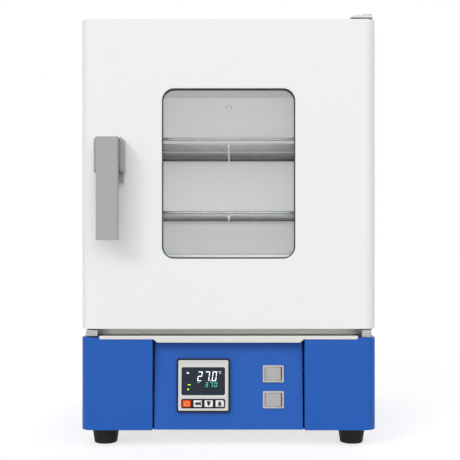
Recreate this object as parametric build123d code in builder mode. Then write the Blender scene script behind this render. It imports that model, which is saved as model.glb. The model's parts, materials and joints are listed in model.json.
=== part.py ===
from build123d import *
import math
import os

os.makedirs("parts", exist_ok=True)

# Bench drying oven with a glazed door over a control base. Millimetres.
# X runs to the right, Y to the back and Z up. The origin is on the bench, under the middle.

# Chamber, and the insulated walls round it
chamber_width = 300.0
chamber_height = 324.0
chamber_depth = 300.0
side_wall = 50.0
roof_wall = 50.0
floor_wall = 60.0
rear_wall = 55.0
chamber_radius = 8.0
liner_wall = 1.0
liner_flange = 10.0
frame_sheet = 1.5

# Cabinet
foot_height = 25.0
base_height = 125.0
door_gap = 12.0
door_drop = 3.0
door_depth = 42.0
seal_gap = 3.0
handle_reach = 40.0
rear_reach = 16.0
base_radius = 16.0
door_radius = 16.5
cabinet_radius = 15.0
sheet = 1.2
seat = 0.3
running = 0.05

width = chamber_width + 2 * side_wall
cabinet_depth = chamber_depth + rear_wall
total_depth = handle_reach + door_depth + seal_gap + cabinet_depth + rear_reach
door_face = handle_reach - total_depth / 2
door_back = door_face + door_depth
frame_face = door_back + seal_gap
cabinet_back = frame_face + cabinet_depth
base_bottom = foot_height
base_top = base_bottom + base_height
chamber_bottom = base_top + floor_wall
chamber_top = chamber_bottom + chamber_height
chamber_mid = (chamber_bottom + chamber_top) / 2
chamber_back = frame_face + chamber_depth
cabinet_top = chamber_top + roof_wall
door_bottom = base_top + door_gap
door_top = cabinet_top - door_drop
door_height = door_top - door_bottom
rearward = (0, 1, 0)

# Base front, with its leaning panel between two wings
panel_half = 103.0
wing_return = 20.0
panel_top_recess = 15.0
panel_bottom_recess = 3.0
panel_flange = 10.0
panel_flange_setback = 6.0

# Door window
window_side_border = 60.0
window_end_border = 47.0
window_width = chamber_width - 2 * window_side_border
window_height = chamber_height - 2 * window_end_border
window_radius = 16.5
window_lip = 1.0
window_bead = 0.4
gasket_depth = 12.0
glass_thickness = 4.0
glass_margin = 12.0
spacer_wall = 1.5
spacer_margin = 8.0
plug_depth = 4.0
plug_gap = 8.0
plug_radius = 10.0
inner_view = 10.0

# Door hinge line, near the right front edge
hinge_inset = 11.0
hinge_set_back = 11.0
hinge_pin_radius = 4.0
hinge_pin_length = 14.0
bush_radius = 6.0
bush_flange_radius = 7.0
hinge_x = width / 2 - hinge_inset
hinge_y = door_face + hinge_set_back

# Handle and latch, near the left edge of the door
latch_beside_chamber = 22.9
handle_inboard = 14.0
lever_width = 29.0
lever_length = 135.0
lever_rise = 45.0
grip_thickness = 9.0
lever_edge = 2.0
hub_radius = 15.0
pivot_reach = 20.0
lever_pin_radius = 3.0
cheek = 4.5
housing_height = 47.0
housing_reach = 25.0
housing_web = 4.0
housing_radius = 5.0
housing_foot_height = 12.0
housing_foot_width = 36.0
housing_foot_reach = 12.0
finger_radius = 2.0
roller_radius = 2.5
roller_reach = 24.2
lever_swing = 25.0
lever_top = chamber_mid + lever_rise
latch_arm_x = -chamber_width / 2 - latch_beside_chamber
handle_x = latch_arm_x + handle_inboard
pivot_y = door_face - pivot_reach
pivot_z = lever_top - hub_radius
latch_travel = roller_reach * math.sin(math.radians(lever_swing))
latch_thickness = 2.0
latch_arm_thickness = 3.0
latch_arm_height = 8.0
latch_drop = 25.0
latch_bar_half = 7.0
latch_bar_rise = 10.0
latch_nose_radius = 5.0
latch_nose_reach = 7.0
latch_z = pivot_z - latch_drop
guide_wall = 1.2

# Wire shelves and their rails
shelf_side_gap = 5.0
shelf_set_back = 13.0
shelf_rear_gap = 3.0
shelf_play = 8.0
rod_radius = 2.25
wire_radius = 1.25
weld = 0.3
wire_start = 46.0
wire_pitch = 9.8
wires_skipped = (10, 11, 20, 21)
wire_sides = 8
shelf_base_level = 111.6
shelf_pitch = 52.0
shelf_head = 30.0
lower_ledge_count = 1
upper_ledge_count = 3
ledge_width = 9.0
rail_sheet = 1.0
shelf_half = chamber_width / 2 - shelf_side_gap
shelf_depth = chamber_depth - shelf_set_back - shelf_rear_gap

# Rear vent
vent_drop = 16.0
vent_bore = 4.7
vent_bush_radius = 7.0
vent_flange_thickness = 3.0
damper_arm = 22.0
damper_radius = 11.0
damper_thickness = 2.0
damper_screw_radius = 2.0
flange_border = 4.0


def upright(y):
    # plane across the oven at this Y, drawn in X and Z
    return Plane.XZ.offset(-y)


def box_face(x_low, x_high, y_low, y_high):
    # rectangle between two corners
    with Locations(((x_low + x_high) / 2, (y_low + y_high) / 2)):
        Rectangle(x_high - x_low, y_high - y_low)


def outline(*points):
    with BuildLine() as border:
        Polyline(*points, close=True)
    make_face(border.edges())


def round_fronted(half, front, back, radius):
    # plan of a box whose two front corners are rounded
    with BuildLine() as border:
        FilletPolyline((-half, back), (-half, front), (half, front), (half, back), radius=radius)
        Line((half, back), (-half, back))
    make_face(border.edges())


# Base shell: one folded sheet with two front wings whose edges turn in, and a top deck
with BuildPart() as base_shell:
    with BuildSketch(Plane.XY.offset(base_bottom)):
        round_fronted(width / 2, door_face, cabinet_back, base_radius)
    extrude(amount=base_height)
    with BuildSketch(Plane.XY.offset(base_bottom)):
        round_fronted(width / 2 - sheet, door_face + sheet, cabinet_back, base_radius - sheet)
    extrude(amount=base_height - sheet, mode=Mode.SUBTRACT)
    with BuildSketch(upright(door_face)):
        box_face(-panel_half, panel_half, base_bottom, base_top - sheet)
    extrude(amount=sheet, dir=rearward, mode=Mode.SUBTRACT)
    with BuildSketch(Plane.XY.offset(base_bottom)):
        box_face(-panel_half - sheet, -panel_half, door_face, door_face + wing_return)
        box_face(panel_half, panel_half + sheet, door_face, door_face + wing_return)
    extrude(amount=base_height)
base_shell.part.label = "base_shell"
export_step(base_shell.part, "parts/base_shell.step")

# The control panel's own plane: X across, Y up the slope, Z out to the front
panel_low = base_bottom + seat
panel_high = base_top - sheet - seat
panel_lean = math.atan2(panel_top_recess - panel_bottom_recess, panel_high - panel_low)
panel_length = (panel_high - panel_low) / math.cos(panel_lean)
panel_middle = (panel_low + panel_high) / 2
panel_plane = Plane(
    origin=(0, door_face + (panel_top_recess + panel_bottom_recess) / 2, panel_middle),
    x_dir=(1, 0, 0),
    z_dir=(0, -math.cos(panel_lean), math.sin(panel_lean)),
)

# Controller, a square instrument of 72 mm
controller_side = 72.0
controller_x = -34.3
controller_height = 59.8
controller_body = 67.6
controller_body_depth = 58.0
controller_proud = 6.2
controller_rim = 1.4
controller_radius = 2.5
bezel_depth = 2.2
display_width = 59.0
display_height = 37.6
display_lift = 5.6
display_radius = 2.5
strip_end = 1.8
strip_edge = 1.9
strip_drop = 24.4
key_width = 11.3
key_height = 9.0
key_pitch = 14.9
key_proud = 0.4
key_travel = 0.6
key_names = ("key_power", "key_shift", "key_down", "key_up")
strip_width = 3 * key_pitch + key_width + 2 * strip_end
strip_height = key_height + 2 * strip_edge
clamp_wall = 3.0
clamp_depth = 10.0

# Rocker switches
switch_x = 60.8
switch_heights = {"lower": 40.4, "upper": 75.1}
switch_width = 28.4
switch_height = 23.0
switch_proud = 2.0
switch_body_width = 26.0
switch_body_height = 20.6
switch_body_depth = 22.0
switch_wall = 1.2
rocker_gap = 0.3
rocker_side_gap = 1.0
rocker_tilt = 6.0
rocker_proud = 2.4
rocker_dish = 1.4
rocker_keel = 4.0
rocker_pin_radius = 1.25


def panel_y(height):
    # distance along the panel of a height above the base's bottom
    return (base_bottom + height - panel_middle) / math.cos(panel_lean)


controller_y = panel_y(controller_height)
with BuildPart() as control_panel:
    with BuildSketch(panel_plane.offset(-sheet)):
        Rectangle(2 * (panel_half - seat), panel_length)
        with Locations((controller_x, controller_y)):
            Rectangle(controller_body + 2 * seat, controller_body + 2 * seat, mode=Mode.SUBTRACT)
        for height in switch_heights.values():
            with Locations((switch_x, panel_y(height))):
                opening = (switch_body_width + 2 * seat, switch_body_height + 2 * seat)
                Rectangle(*opening, mode=Mode.SUBTRACT)
    extrude(amount=sheet)
    with BuildSketch(panel_plane.offset(-sheet - panel_flange)):
        for side in (-1, 1):
            with Locations((side * (panel_half - seat - sheet / 2), 0)):
                Rectangle(sheet, panel_length - 2 * panel_flange_setback)
    extrude(amount=panel_flange)
control_panel.part.label = "control_panel"
export_step(control_panel.part, "parts/control_panel.step")

# Feet, their places and their screws
foot_side_inset = 28.0
foot_inset = 45.0
foot_top_radius = 18.1
foot_bottom_radius = 15.3
foot_edge = 2.5
foot_sides = 32
foot_screw_radius = 2.5
foot_counterbore = 6.0
foot_counterbore_depth = 12.0
screw_head_radius = 4.2
screw_head_height = 2.4
foot_x = width / 2 - foot_side_inset
foot_places = {
    "front_left": (-foot_x, door_face + foot_inset),
    "front_right": (foot_x, door_face + foot_inset),
    "back_left": (-foot_x, cabinet_back - foot_inset),
    "back_right": (foot_x, cabinet_back - foot_inset),
}

# Base floor: a tray that carries the electrics, slotted for cooling air
floor_half = width / 2 - sheet - seat
floor_back = cabinet_back - sheet - seat
floor_rim = 14.0
slot_count = 6
slot_pitch = 14.0
slot_length = 90.0
slot_width = 4.0
with BuildPart() as base_floor:
    with BuildSketch(Plane.XY.offset(base_bottom)):
        round_fronted(floor_half, door_face + sheet + seat, floor_back, base_radius - sheet - seat)
        for side in (-1, 1):
            with Locations((side * (panel_half + sheet / 2), door_face + wing_return / 2)):
                Rectangle(sheet + 2 * seat, wing_return + 2 * seat, mode=Mode.SUBTRACT)
        with Locations((0, door_face + (panel_bottom_recess + sheet + 2 * seat) / 2)):
            Rectangle(2 * panel_half, panel_bottom_recess + sheet + 2 * seat, mode=Mode.SUBTRACT)
        with Locations(*foot_places.values()):
            Circle(foot_screw_radius + running, mode=Mode.SUBTRACT)
        with Locations((0, (door_face + cabinet_back) / 2)):
            with GridLocations(0, slot_pitch, 1, slot_count):
                Rectangle(slot_length, slot_width, mode=Mode.SUBTRACT)
    extrude(amount=sheet)
    with BuildSketch(Plane.XY.offset(base_bottom)):
        for side in (-1, 1):
            with Locations((side * (floor_half - sheet / 2), (door_face + cabinet_back) / 2)):
                Rectangle(sheet, cabinet_back - door_face - 2 * foot_inset)
    extrude(amount=floor_rim)
base_floor.part.label = "base_floor"
export_step(base_floor.part, "parts/base_floor.step")

for place, (foot_place_x, foot_place_y) in foot_places.items():
    with BuildPart() as foot:
        with BuildSketch():
            RegularPolygon(foot_bottom_radius, foot_sides)
        with BuildSketch(Plane.XY.offset(foot_height)):
            RegularPolygon(foot_top_radius, foot_sides)
        loft(ruled=True)
        chamfer(foot.faces().sort_by(Axis.Z)[0].edges(), foot_edge)
        with BuildSketch():
            Circle(foot_counterbore)
        extrude(amount=foot_counterbore_depth, mode=Mode.SUBTRACT)
        with BuildSketch():
            Circle(foot_screw_radius + running)
        extrude(amount=foot_height, mode=Mode.SUBTRACT)
    foot_part = foot.part.moved(Location((foot_place_x, foot_place_y, 0)))
    foot_part.label = "foot_" + place
    export_step(foot_part, "parts/foot_" + place + ".step")

# Rear panel of the base, with cooling louvres and the mains inlet's cut-out
inlet_inset = 80.0
inlet_height = 42.0
inlet_body_width = 27.0
inlet_body_height = 19.8
inlet_flange_width = 50.0
inlet_flange_height = 23.0
inlet_flange_thickness = 2.5
inlet_body_depth = 22.0
inlet_socket_width = 24.0
inlet_socket_height = 16.4
inlet_socket_depth = 15.0
inlet_screw_spacing = 40.0
inlet_screw_radius = 1.75
inlet_x = width / 2 - inlet_inset
inlet_z = base_bottom + inlet_height
louvre_columns = 8
louvre_pitch = 12.0
louvre_width = 4.0
louvre_height = 60.0
louvre_x = -70.0
with BuildPart() as base_back_panel:
    with BuildSketch(upright(cabinet_back - sheet)):
        box_face(-floor_half, floor_half, base_bottom, base_top - sheet - seat)
        with Locations((louvre_x, base_bottom + base_height / 2)):
            with GridLocations(louvre_pitch, 0, louvre_columns, 1):
                Rectangle(louvre_width, louvre_height, mode=Mode.SUBTRACT)
        with Locations((inlet_x, inlet_z)):
            Rectangle(inlet_body_width + 2 * seat, inlet_body_height + 2 * seat, mode=Mode.SUBTRACT)
            with GridLocations(inlet_screw_spacing, 0, 2, 1):
                Circle(inlet_screw_radius + running, mode=Mode.SUBTRACT)
    extrude(amount=sheet, dir=rearward)
base_back_panel.part.label = "base_back_panel"
export_step(base_back_panel.part, "parts/base_back_panel.step")

# Stainless threshold plate over the deck, with a lip that drops further over the panel
threshold_sheet = 1.0
threshold_inset = 25.0
lip_drop = 2.0
lip_slant = 1.5
apron_drop = 6.4
apron_inset = 6.5
apron_slope = 5.0
threshold_half = width / 2 - threshold_inset
apron_half = panel_half - apron_inset
with BuildPart() as threshold_plate:
    with BuildSketch(Plane.XY.offset(base_top)):
        box_face(-threshold_half, threshold_half, door_face - threshold_sheet, frame_face - seat)
    extrude(amount=threshold_sheet)
    with BuildSketch(upright(door_face - threshold_sheet)):
        lip_bottom = base_top - lip_drop
        apron_bottom = base_top - apron_drop
        outline(
            (-threshold_half, base_top + threshold_sheet),
            (-threshold_half + lip_slant, lip_bottom),
            (-apron_half - apron_slope, lip_bottom),
            (-apron_half, apron_bottom),
            (apron_half, apron_bottom),
            (apron_half + apron_slope, lip_bottom),
            (threshold_half - lip_slant, lip_bottom),
            (threshold_half, base_top + threshold_sheet),
        )
    extrude(amount=threshold_sheet, dir=rearward)
threshold_plate.part.label = "threshold_plate"
export_step(threshold_plate.part, "parts/threshold_plate.step")

# Controller: black case with a silver bezel, a dark window and a strip of keys
bezel_floor = controller_proud - bezel_depth
key_floor = bezel_floor - key_travel * 3 - 1.2
key_back = key_floor + key_travel * 1.5
key_front = controller_proud + key_proud
strip_y = controller_y - strip_drop
with BuildPart() as controller_case:
    with BuildSketch(panel_plane):
        with Locations((controller_x, controller_y)):
            RectangleRounded(controller_side, controller_side, controller_radius)
    extrude(amount=controller_proud)
    with BuildSketch(panel_plane.offset(-controller_body_depth)):
        with Locations((controller_x, controller_y)):
            Rectangle(controller_body, controller_body)
    extrude(amount=controller_body_depth)
    with BuildSketch(panel_plane.offset(bezel_floor)):
        with Locations((controller_x, controller_y)):
            pocket = controller_side - 2 * controller_rim
            RectangleRounded(pocket, pocket, controller_radius - controller_rim / 2)
    extrude(amount=bezel_depth, mode=Mode.SUBTRACT)
    with BuildSketch(panel_plane.offset(key_floor)):
        with Locations((controller_x, strip_y)):
            Rectangle(3 * key_pitch + key_width + 2 * seat, key_height + 2 * seat)
    extrude(amount=bezel_floor - key_floor, mode=Mode.SUBTRACT)
controller_case.part.label = "controller_case"
export_step(controller_case.part, "parts/controller_case.step")

bezel_side = controller_side - 2 * controller_rim - 2 * running
with BuildPart() as controller_bezel:
    with BuildSketch(panel_plane.offset(bezel_floor)):
        with Locations((controller_x, controller_y)):
            RectangleRounded(bezel_side, bezel_side, controller_radius - controller_rim / 2)
        with Locations((controller_x, controller_y + display_lift)):
            RectangleRounded(display_width, display_height, display_radius, mode=Mode.SUBTRACT)
        with Locations((controller_x, strip_y)):
            RectangleRounded(strip_width, strip_height, display_radius, mode=Mode.SUBTRACT)
    extrude(amount=bezel_depth)
controller_bezel.part.label = "controller_bezel"
export_step(controller_bezel.part, "parts/controller_bezel.step")

with BuildPart() as display_window:
    with BuildSketch(panel_plane.offset(bezel_floor)):
        with Locations((controller_x, controller_y + display_lift)):
            inset = 2 * running
            RectangleRounded(display_width - inset, display_height - inset, display_radius - running)
    extrude(amount=bezel_depth - 2 * running)
display_window.part.label = "display_window"
export_step(display_window.part, "parts/display_window.step")

key_places = [controller_x + (i - 1.5) * key_pitch for i in range(4)]
with BuildPart() as key_strip:
    with BuildSketch(panel_plane.offset(bezel_floor)):
        with Locations((controller_x, strip_y)):
            inset = 2 * running
            RectangleRounded(strip_width - inset, strip_height - inset, display_radius - running)
        for key_x in key_places:
            with Locations((key_x, strip_y)):
                Rectangle(key_width + seat, key_height + seat, mode=Mode.SUBTRACT)
    extrude(amount=bezel_depth)
key_strip.part.label = "key_strip"
export_step(key_strip.part, "parts/key_strip.step")

for key_name, key_x in zip(key_names, key_places):
    with BuildPart() as key:
        with BuildSketch(panel_plane.offset(key_back)):
            with Locations((key_x, strip_y)):
                RectangleRounded(key_width, key_height, 1.0)
        extrude(amount=key_front - key_back)
    key.part.label = key_name
    export_step(key.part, "parts/" + key_name + ".step")

with BuildPart() as controller_clamp:
    with BuildSketch(panel_plane.offset(-sheet - clamp_depth)):
        with Locations((controller_x, controller_y)):
            outer = controller_body + 2 * running + 2 * clamp_wall
            Rectangle(outer, outer)
            inner = controller_body + 2 * running
            Rectangle(inner, inner, mode=Mode.SUBTRACT)
    extrude(amount=clamp_depth)
controller_clamp.part.label = "controller_clamp"
export_step(controller_clamp.part, "parts/controller_clamp.step")

# Rocker switches: a framed well with a rocker on two stub pins along the slope of the panel
for name, height in switch_heights.items():
    switch_y = panel_y(height)
    well_width = switch_body_width - 2 * switch_wall
    well_height = switch_body_height - 2 * switch_wall
    rocker_length = well_height - 2 * rocker_gap
    rocker_half = well_width / 2 - rocker_side_gap
    pivot = panel_plane.from_local_coords((switch_x, switch_y, -switch_wall))
    rocker_plane = Plane(origin=pivot, x_dir=(1, 0, 0), z_dir=-panel_plane.y_dir)
    tilted_plane = rocker_plane.rotated((0, 0, -rocker_tilt))
    with BuildPart() as switch_bezel:
        with BuildSketch(panel_plane):
            with Locations((switch_x, switch_y)):
                RectangleRounded(switch_width, switch_height, 1.5)
        extrude(amount=switch_proud)
        with BuildSketch(panel_plane.offset(-switch_body_depth)):
            with Locations((switch_x, switch_y)):
                Rectangle(switch_body_width, switch_body_height)
        extrude(amount=switch_body_depth)
        with BuildSketch(panel_plane.offset(-switch_wall - rocker_keel - 2 * switch_wall)):
            with Locations((switch_x, switch_y)):
                Rectangle(well_width, well_height)
        extrude(amount=switch_proud + rocker_keel + 3 * switch_wall, mode=Mode.SUBTRACT)
        with BuildSketch(rocker_plane):
            Circle(rocker_pin_radius + running)
        extrude(amount=switch_body_height / 2, both=True, mode=Mode.SUBTRACT)
    switch_bezel.part.label = "switch_bezel_" + name
    export_step(switch_bezel.part, "parts/switch_bezel_" + name + ".step")
    crest = switch_wall + switch_proud + rocker_proud - rocker_dish
    with BuildPart() as rocker:
        with BuildSketch(tilted_plane):
            outline(
                (-rocker_half, crest),
                (-rocker_half + rocker_dish, crest + rocker_dish * 0.6),
                (0, crest - rocker_dish * 0.4),
                (rocker_half - rocker_dish, crest + rocker_dish * 0.6),
                (rocker_half, crest),
                (rocker_half * 0.75, -rocker_keel / 2),
                (rocker_half * 0.3, -rocker_keel),
                (-rocker_half * 0.3, -rocker_keel),
                (-rocker_half * 0.75, -rocker_keel / 2),
            )
        extrude(amount=rocker_length / 2, both=True)
        with BuildSketch(rocker_plane):
            Circle(rocker_pin_radius)
        extrude(amount=(switch_body_height - switch_wall) / 2, both=True)
    rocker.part.label = "rocker_" + name
    export_step(rocker.part, "parts/rocker_" + name + ".step")

# Solid-state relay on the base floor
relay_size = (58.0, 45.0, 28.0)
relay_place = (95.0, 130.0)
with BuildPart() as relay:
    with BuildSketch(Plane.XY.offset(base_bottom + sheet)):
        with Locations((relay_place[0], door_face + relay_place[1])):
            Rectangle(relay_size[0], relay_size[1])
            with GridLocations(relay_size[0], 0, 2, 1):
                Circle(2.5, mode=Mode.SUBTRACT)
    extrude(amount=relay_size[2])
relay.part.label = "relay"
export_step(relay.part, "parts/relay.step")

# Mains inlet: a flanged socket with three flat pins
pin_width = 4.0
pin_thickness = 2.0
pin_length = 13.0
pin_spacing = 14.0
earth_lift = 4.0
flange_back = cabinet_back + inlet_flange_thickness
with BuildPart() as mains_inlet:
    with BuildSketch(upright(cabinet_back)):
        with Locations((inlet_x, inlet_z)):
            RectangleRounded(inlet_flange_width, inlet_flange_height, 4.0)
    extrude(amount=inlet_flange_thickness, dir=rearward)
    with BuildSketch(upright(cabinet_back - inlet_body_depth)):
        with Locations((inlet_x, inlet_z)):
            Rectangle(inlet_body_width, inlet_body_height)
    extrude(amount=inlet_body_depth, dir=rearward)
    with BuildSketch(upright(flange_back - inlet_socket_depth)):
        with Locations((inlet_x, inlet_z)):
            Rectangle(inlet_socket_width, inlet_socket_height)
    extrude(amount=inlet_socket_depth, dir=rearward, mode=Mode.SUBTRACT)
    with BuildSketch(upright(cabinet_back)):
        with Locations((inlet_x, inlet_z)):
            with GridLocations(inlet_screw_spacing, 0, 2, 1):
                Circle(inlet_screw_radius + running)
    extrude(amount=inlet_flange_thickness, dir=rearward, mode=Mode.SUBTRACT)
mains_inlet.part.label = "mains_inlet"
export_step(mains_inlet.part, "parts/mains_inlet.step")

with BuildPart() as inlet_pins:
    with BuildSketch(upright(flange_back - inlet_socket_depth)):
        with Locations((inlet_x - pin_spacing / 2, inlet_z), (inlet_x + pin_spacing / 2, inlet_z)):
            Rectangle(pin_thickness, pin_width)
        with Locations((inlet_x, inlet_z + earth_lift)):
            Rectangle(pin_thickness, pin_width)
    extrude(amount=pin_length, dir=rearward)
inlet_pins.part.label = "inlet_pins"
export_step(inlet_pins.part, "parts/inlet_pins.step")

# Cabinet shell: sides, top and two rounded front corners in one sheet
frame_half = width / 2 - cabinet_radius
with BuildPart() as cabinet_shell:
    with BuildSketch(Plane.XY.offset(base_top)):
        round_fronted(width / 2, frame_face, cabinet_back, cabinet_radius)
    extrude(amount=cabinet_top - base_top)
    with BuildSketch(Plane.XY.offset(base_top)):
        inner_half = width / 2 - sheet
        round_fronted(inner_half, frame_face + sheet, cabinet_back, cabinet_radius - sheet)
    extrude(amount=cabinet_top - base_top - sheet, mode=Mode.SUBTRACT)
    with BuildSketch(upright(frame_face)):
        box_face(-frame_half, frame_half, base_top, cabinet_top - sheet)
    extrude(amount=sheet, dir=rearward, mode=Mode.SUBTRACT)
cabinet_shell.part.label = "cabinet_shell"
export_step(cabinet_shell.part, "parts/cabinet_shell.step")

# Front frame round the chamber's mouth, with a window for the latch
latch_slot_half = 4.5
latch_slot_top = latch_z + latch_nose_radius + seat
latch_slot_bottom = latch_z - latch_nose_radius - latch_travel - 2 * seat
latch_slot_x = latch_arm_x - 1.0
slot_border = 1.5
with BuildPart() as front_frame:
    with BuildSketch(upright(frame_face)):
        frame_edge = frame_half - seat
        box_face(-frame_edge, frame_edge, base_top + seat, cabinet_top - sheet - seat)
        with Locations((0, chamber_mid)):
            RectangleRounded(chamber_width, chamber_height, chamber_radius, mode=Mode.SUBTRACT)
        with Locations((latch_slot_x, (latch_slot_top + latch_slot_bottom) / 2)):
            opening_width = 2 * (latch_slot_half + slot_border)
            opening_height = latch_slot_top - latch_slot_bottom + 2 * slot_border
            Rectangle(opening_width, opening_height, mode=Mode.SUBTRACT)
    extrude(amount=frame_sheet, dir=rearward)
front_frame.part.label = "front_frame"
export_step(front_frame.part, "parts/front_frame.step")

strike_border = 6.0
strike_back = frame_face + frame_sheet
with BuildPart() as strike_plate:
    with BuildSketch(upright(strike_back)):
        with Locations((latch_slot_x, (latch_slot_top + latch_slot_bottom) / 2)):
            slot_height = latch_slot_top - latch_slot_bottom
            plate = (2 * (latch_slot_half + strike_border), slot_height + 2 * strike_border)
            RectangleRounded(*plate, 3.0)
            Rectangle(2 * latch_slot_half, slot_height, mode=Mode.SUBTRACT)
    extrude(amount=sheet, dir=rearward)
strike_plate.part.label = "strike_plate"
export_step(strike_plate.part, "parts/strike_plate.step")

# Heater: one tube bent in an M on the chamber floor
heater_radius = 4.0
heater_lift = 18.0
heater_side_gap = 40.0
heater_inner = 37.0
heater_front = 40.0
heater_back = 45.0
heater_bend = 25.0
heater_tail = 12.0
heater_z = chamber_bottom + heater_lift
heater_half = chamber_width / 2 - heater_side_gap
bracket_width = 20.0
bracket_side_gap = 25.0
bracket_half = chamber_width / 2 - bracket_side_gap
bracket_setbacks = (90.0, 210.0)

# Sensor and vent places in the rear wall
sensor_side_gap = 22.0
sensor_x = chamber_width / 2 - sensor_side_gap
sensor_drop = 40.0
sensor_radius = 2.5
sensor_length = 50.0
sensor_tail = 15.0
sensor_nut_radius = 7.0
sensor_nut = 4.0
sensor_z = chamber_top - sensor_drop
vent_z = chamber_top - vent_drop


def rear_holes(bush_gap, tube_gap, rod_gap):
    # the vent, the heater's two ends and the sensor pass through the rear wall
    with Locations((0, vent_z)):
        Circle(vent_bush_radius + bush_gap)
    with Locations((-heater_half, heater_z), (heater_half, heater_z)):
        Circle(heater_radius + tube_gap)
    with Locations((sensor_x, sensor_z)):
        Circle(sensor_radius + rod_gap)


# Chamber liner: five sheets welded at the corners, four with a flange behind the front frame
liner_half = chamber_width / 2 + liner_wall
liner_end = chamber_back - running
flange_end = strike_back + liner_wall
with BuildPart() as chamber_liner:
    with BuildSketch(Plane.XY.offset(chamber_bottom + running)):
        for side in (-1, 1):
            sheet_x = side * (liner_half - liner_wall / 2)
            flange_x = side * (chamber_width / 2 + liner_flange / 2)
            with Locations((sheet_x, (strike_back + liner_end) / 2)):
                Rectangle(liner_wall, liner_end - strike_back)
            with Locations((flange_x, (strike_back + flange_end) / 2)):
                Rectangle(liner_flange, liner_wall)
    extrude(amount=chamber_height - 2 * running)
    with BuildSketch(Plane.YZ.offset(-liner_half)):
        box_face(strike_back, liner_end, chamber_top, chamber_top + liner_wall)
        box_face(strike_back, flange_end, chamber_top, chamber_top + liner_flange)
        box_face(strike_back, liner_end, chamber_bottom - liner_wall, chamber_bottom)
        box_face(strike_back, flange_end, chamber_bottom - liner_flange, chamber_bottom)
    extrude(amount=2 * liner_half)
    with BuildSketch(upright(chamber_back)):
        box_face(-liner_half, liner_half, chamber_bottom - liner_wall, chamber_top + liner_wall)
    extrude(amount=liner_wall, dir=rearward)
    with BuildSketch(upright(chamber_back)):
        rear_holes(running, running, running)
    extrude(amount=liner_wall, dir=rearward, mode=Mode.SUBTRACT)
chamber_liner.part.label = "chamber_liner"
export_step(chamber_liner.part, "parts/chamber_liner.step")

# Mineral wool between the liner and the shell
wool_front = strike_back + sheet + seat
wool_back = cabinet_back - sheet - seat
latch_pocket = 22.0
with BuildPart() as insulation:
    with BuildSketch(upright(wool_front)):
        wool_half = width / 2 - sheet - seat
        box_face(-wool_half, wool_half, base_top + seat, cabinet_top - sheet - seat)
    extrude(amount=wool_back - wool_front, dir=rearward)
    wool_corners = insulation.edges().filter_by(Axis.Z).group_by(Axis.Y)[0]
    chamfer(wool_corners, cabinet_radius)
    with BuildSketch(upright(wool_front)):
        with Locations((0, chamber_mid)):
            Rectangle(2 * (liner_half + seat), chamber_height + 2 * (liner_wall + seat))
    extrude(amount=chamber_back + liner_wall + seat - wool_front, dir=rearward, mode=Mode.SUBTRACT)
    with BuildSketch(upright(wool_front)):
        rear_holes(seat, seat, seat)
    extrude(amount=wool_back - wool_front, dir=rearward, mode=Mode.SUBTRACT)
    with BuildSketch(upright(wool_front)):
        with Locations((latch_slot_x, (latch_slot_top + latch_slot_bottom) / 2)):
            Rectangle(2 * latch_slot_half, latch_slot_top - latch_slot_bottom)
    extrude(amount=latch_pocket, dir=rearward, mode=Mode.SUBTRACT)
insulation.part.label = "insulation"
export_step(insulation.part, "parts/insulation.step")

# Rear panel of the cabinet with two rows of louvres
rear_louvre_columns = 9
rear_louvre_pitch = 30.0
rear_louvre_width = 18.0
rear_louvre_height = 4.0
rear_louvre_rise = 40.0
with BuildPart() as cabinet_back_panel:
    with BuildSketch(upright(cabinet_back - sheet)):
        back_half = width / 2 - sheet - seat
        box_face(-back_half, back_half, base_top + seat, cabinet_top - sheet - seat)
        with Locations((0, vent_z)):
            Circle(vent_bush_radius + running, mode=Mode.SUBTRACT)
        with Locations((0, base_top + rear_louvre_rise)):
            with GridLocations(rear_louvre_pitch, rear_louvre_pitch / 2, rear_louvre_columns, 2):
                Rectangle(rear_louvre_width, rear_louvre_height, mode=Mode.SUBTRACT)
    extrude(amount=sheet, dir=rearward)
cabinet_back_panel.part.label = "cabinet_back_panel"
export_step(cabinet_back_panel.part, "parts/cabinet_back_panel.step")

# Heater tube and the two brackets under it
heater_near = frame_face + heater_front
heater_far = chamber_back - heater_back
heater_end = chamber_back + heater_tail
with BuildPart() as heater_element:
    with BuildLine(Plane.XY.offset(heater_z)) as heater_path:
        FilletPolyline(
            (-heater_half, heater_end),
            (-heater_half, heater_near),
            (-heater_inner, heater_near),
            (-heater_inner, heater_far),
            (heater_inner, heater_far),
            (heater_inner, heater_near),
            (heater_half, heater_near),
            (heater_half, heater_end),
            radius=heater_bend,
        )
    with BuildSketch(Plane(origin=heater_path.line @ 0, z_dir=heater_path.line % 0)):
        RegularPolygon(heater_radius, wire_sides)
    sweep()
heater_element.part.label = "heater_element"
export_step(heater_element.part, "parts/heater_element.step")

bracket_top = heater_z - heater_radius - running
with BuildPart() as heater_brackets:
    for setback in bracket_setbacks:
        with BuildSketch(upright(frame_face + setback)):
            box_face(-bracket_half, bracket_half, chamber_bottom, bracket_top)
            bracket_inner = bracket_half - sheet
            with Locations((0, (chamber_bottom + bracket_top - sheet) / 2)):
                legs = bracket_top - sheet - chamber_bottom
                Rectangle(2 * bracket_inner, legs, mode=Mode.SUBTRACT)
        extrude(amount=bracket_width, dir=rearward)
heater_brackets.part.label = "heater_brackets"
export_step(heater_brackets.part, "parts/heater_brackets.step")

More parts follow.
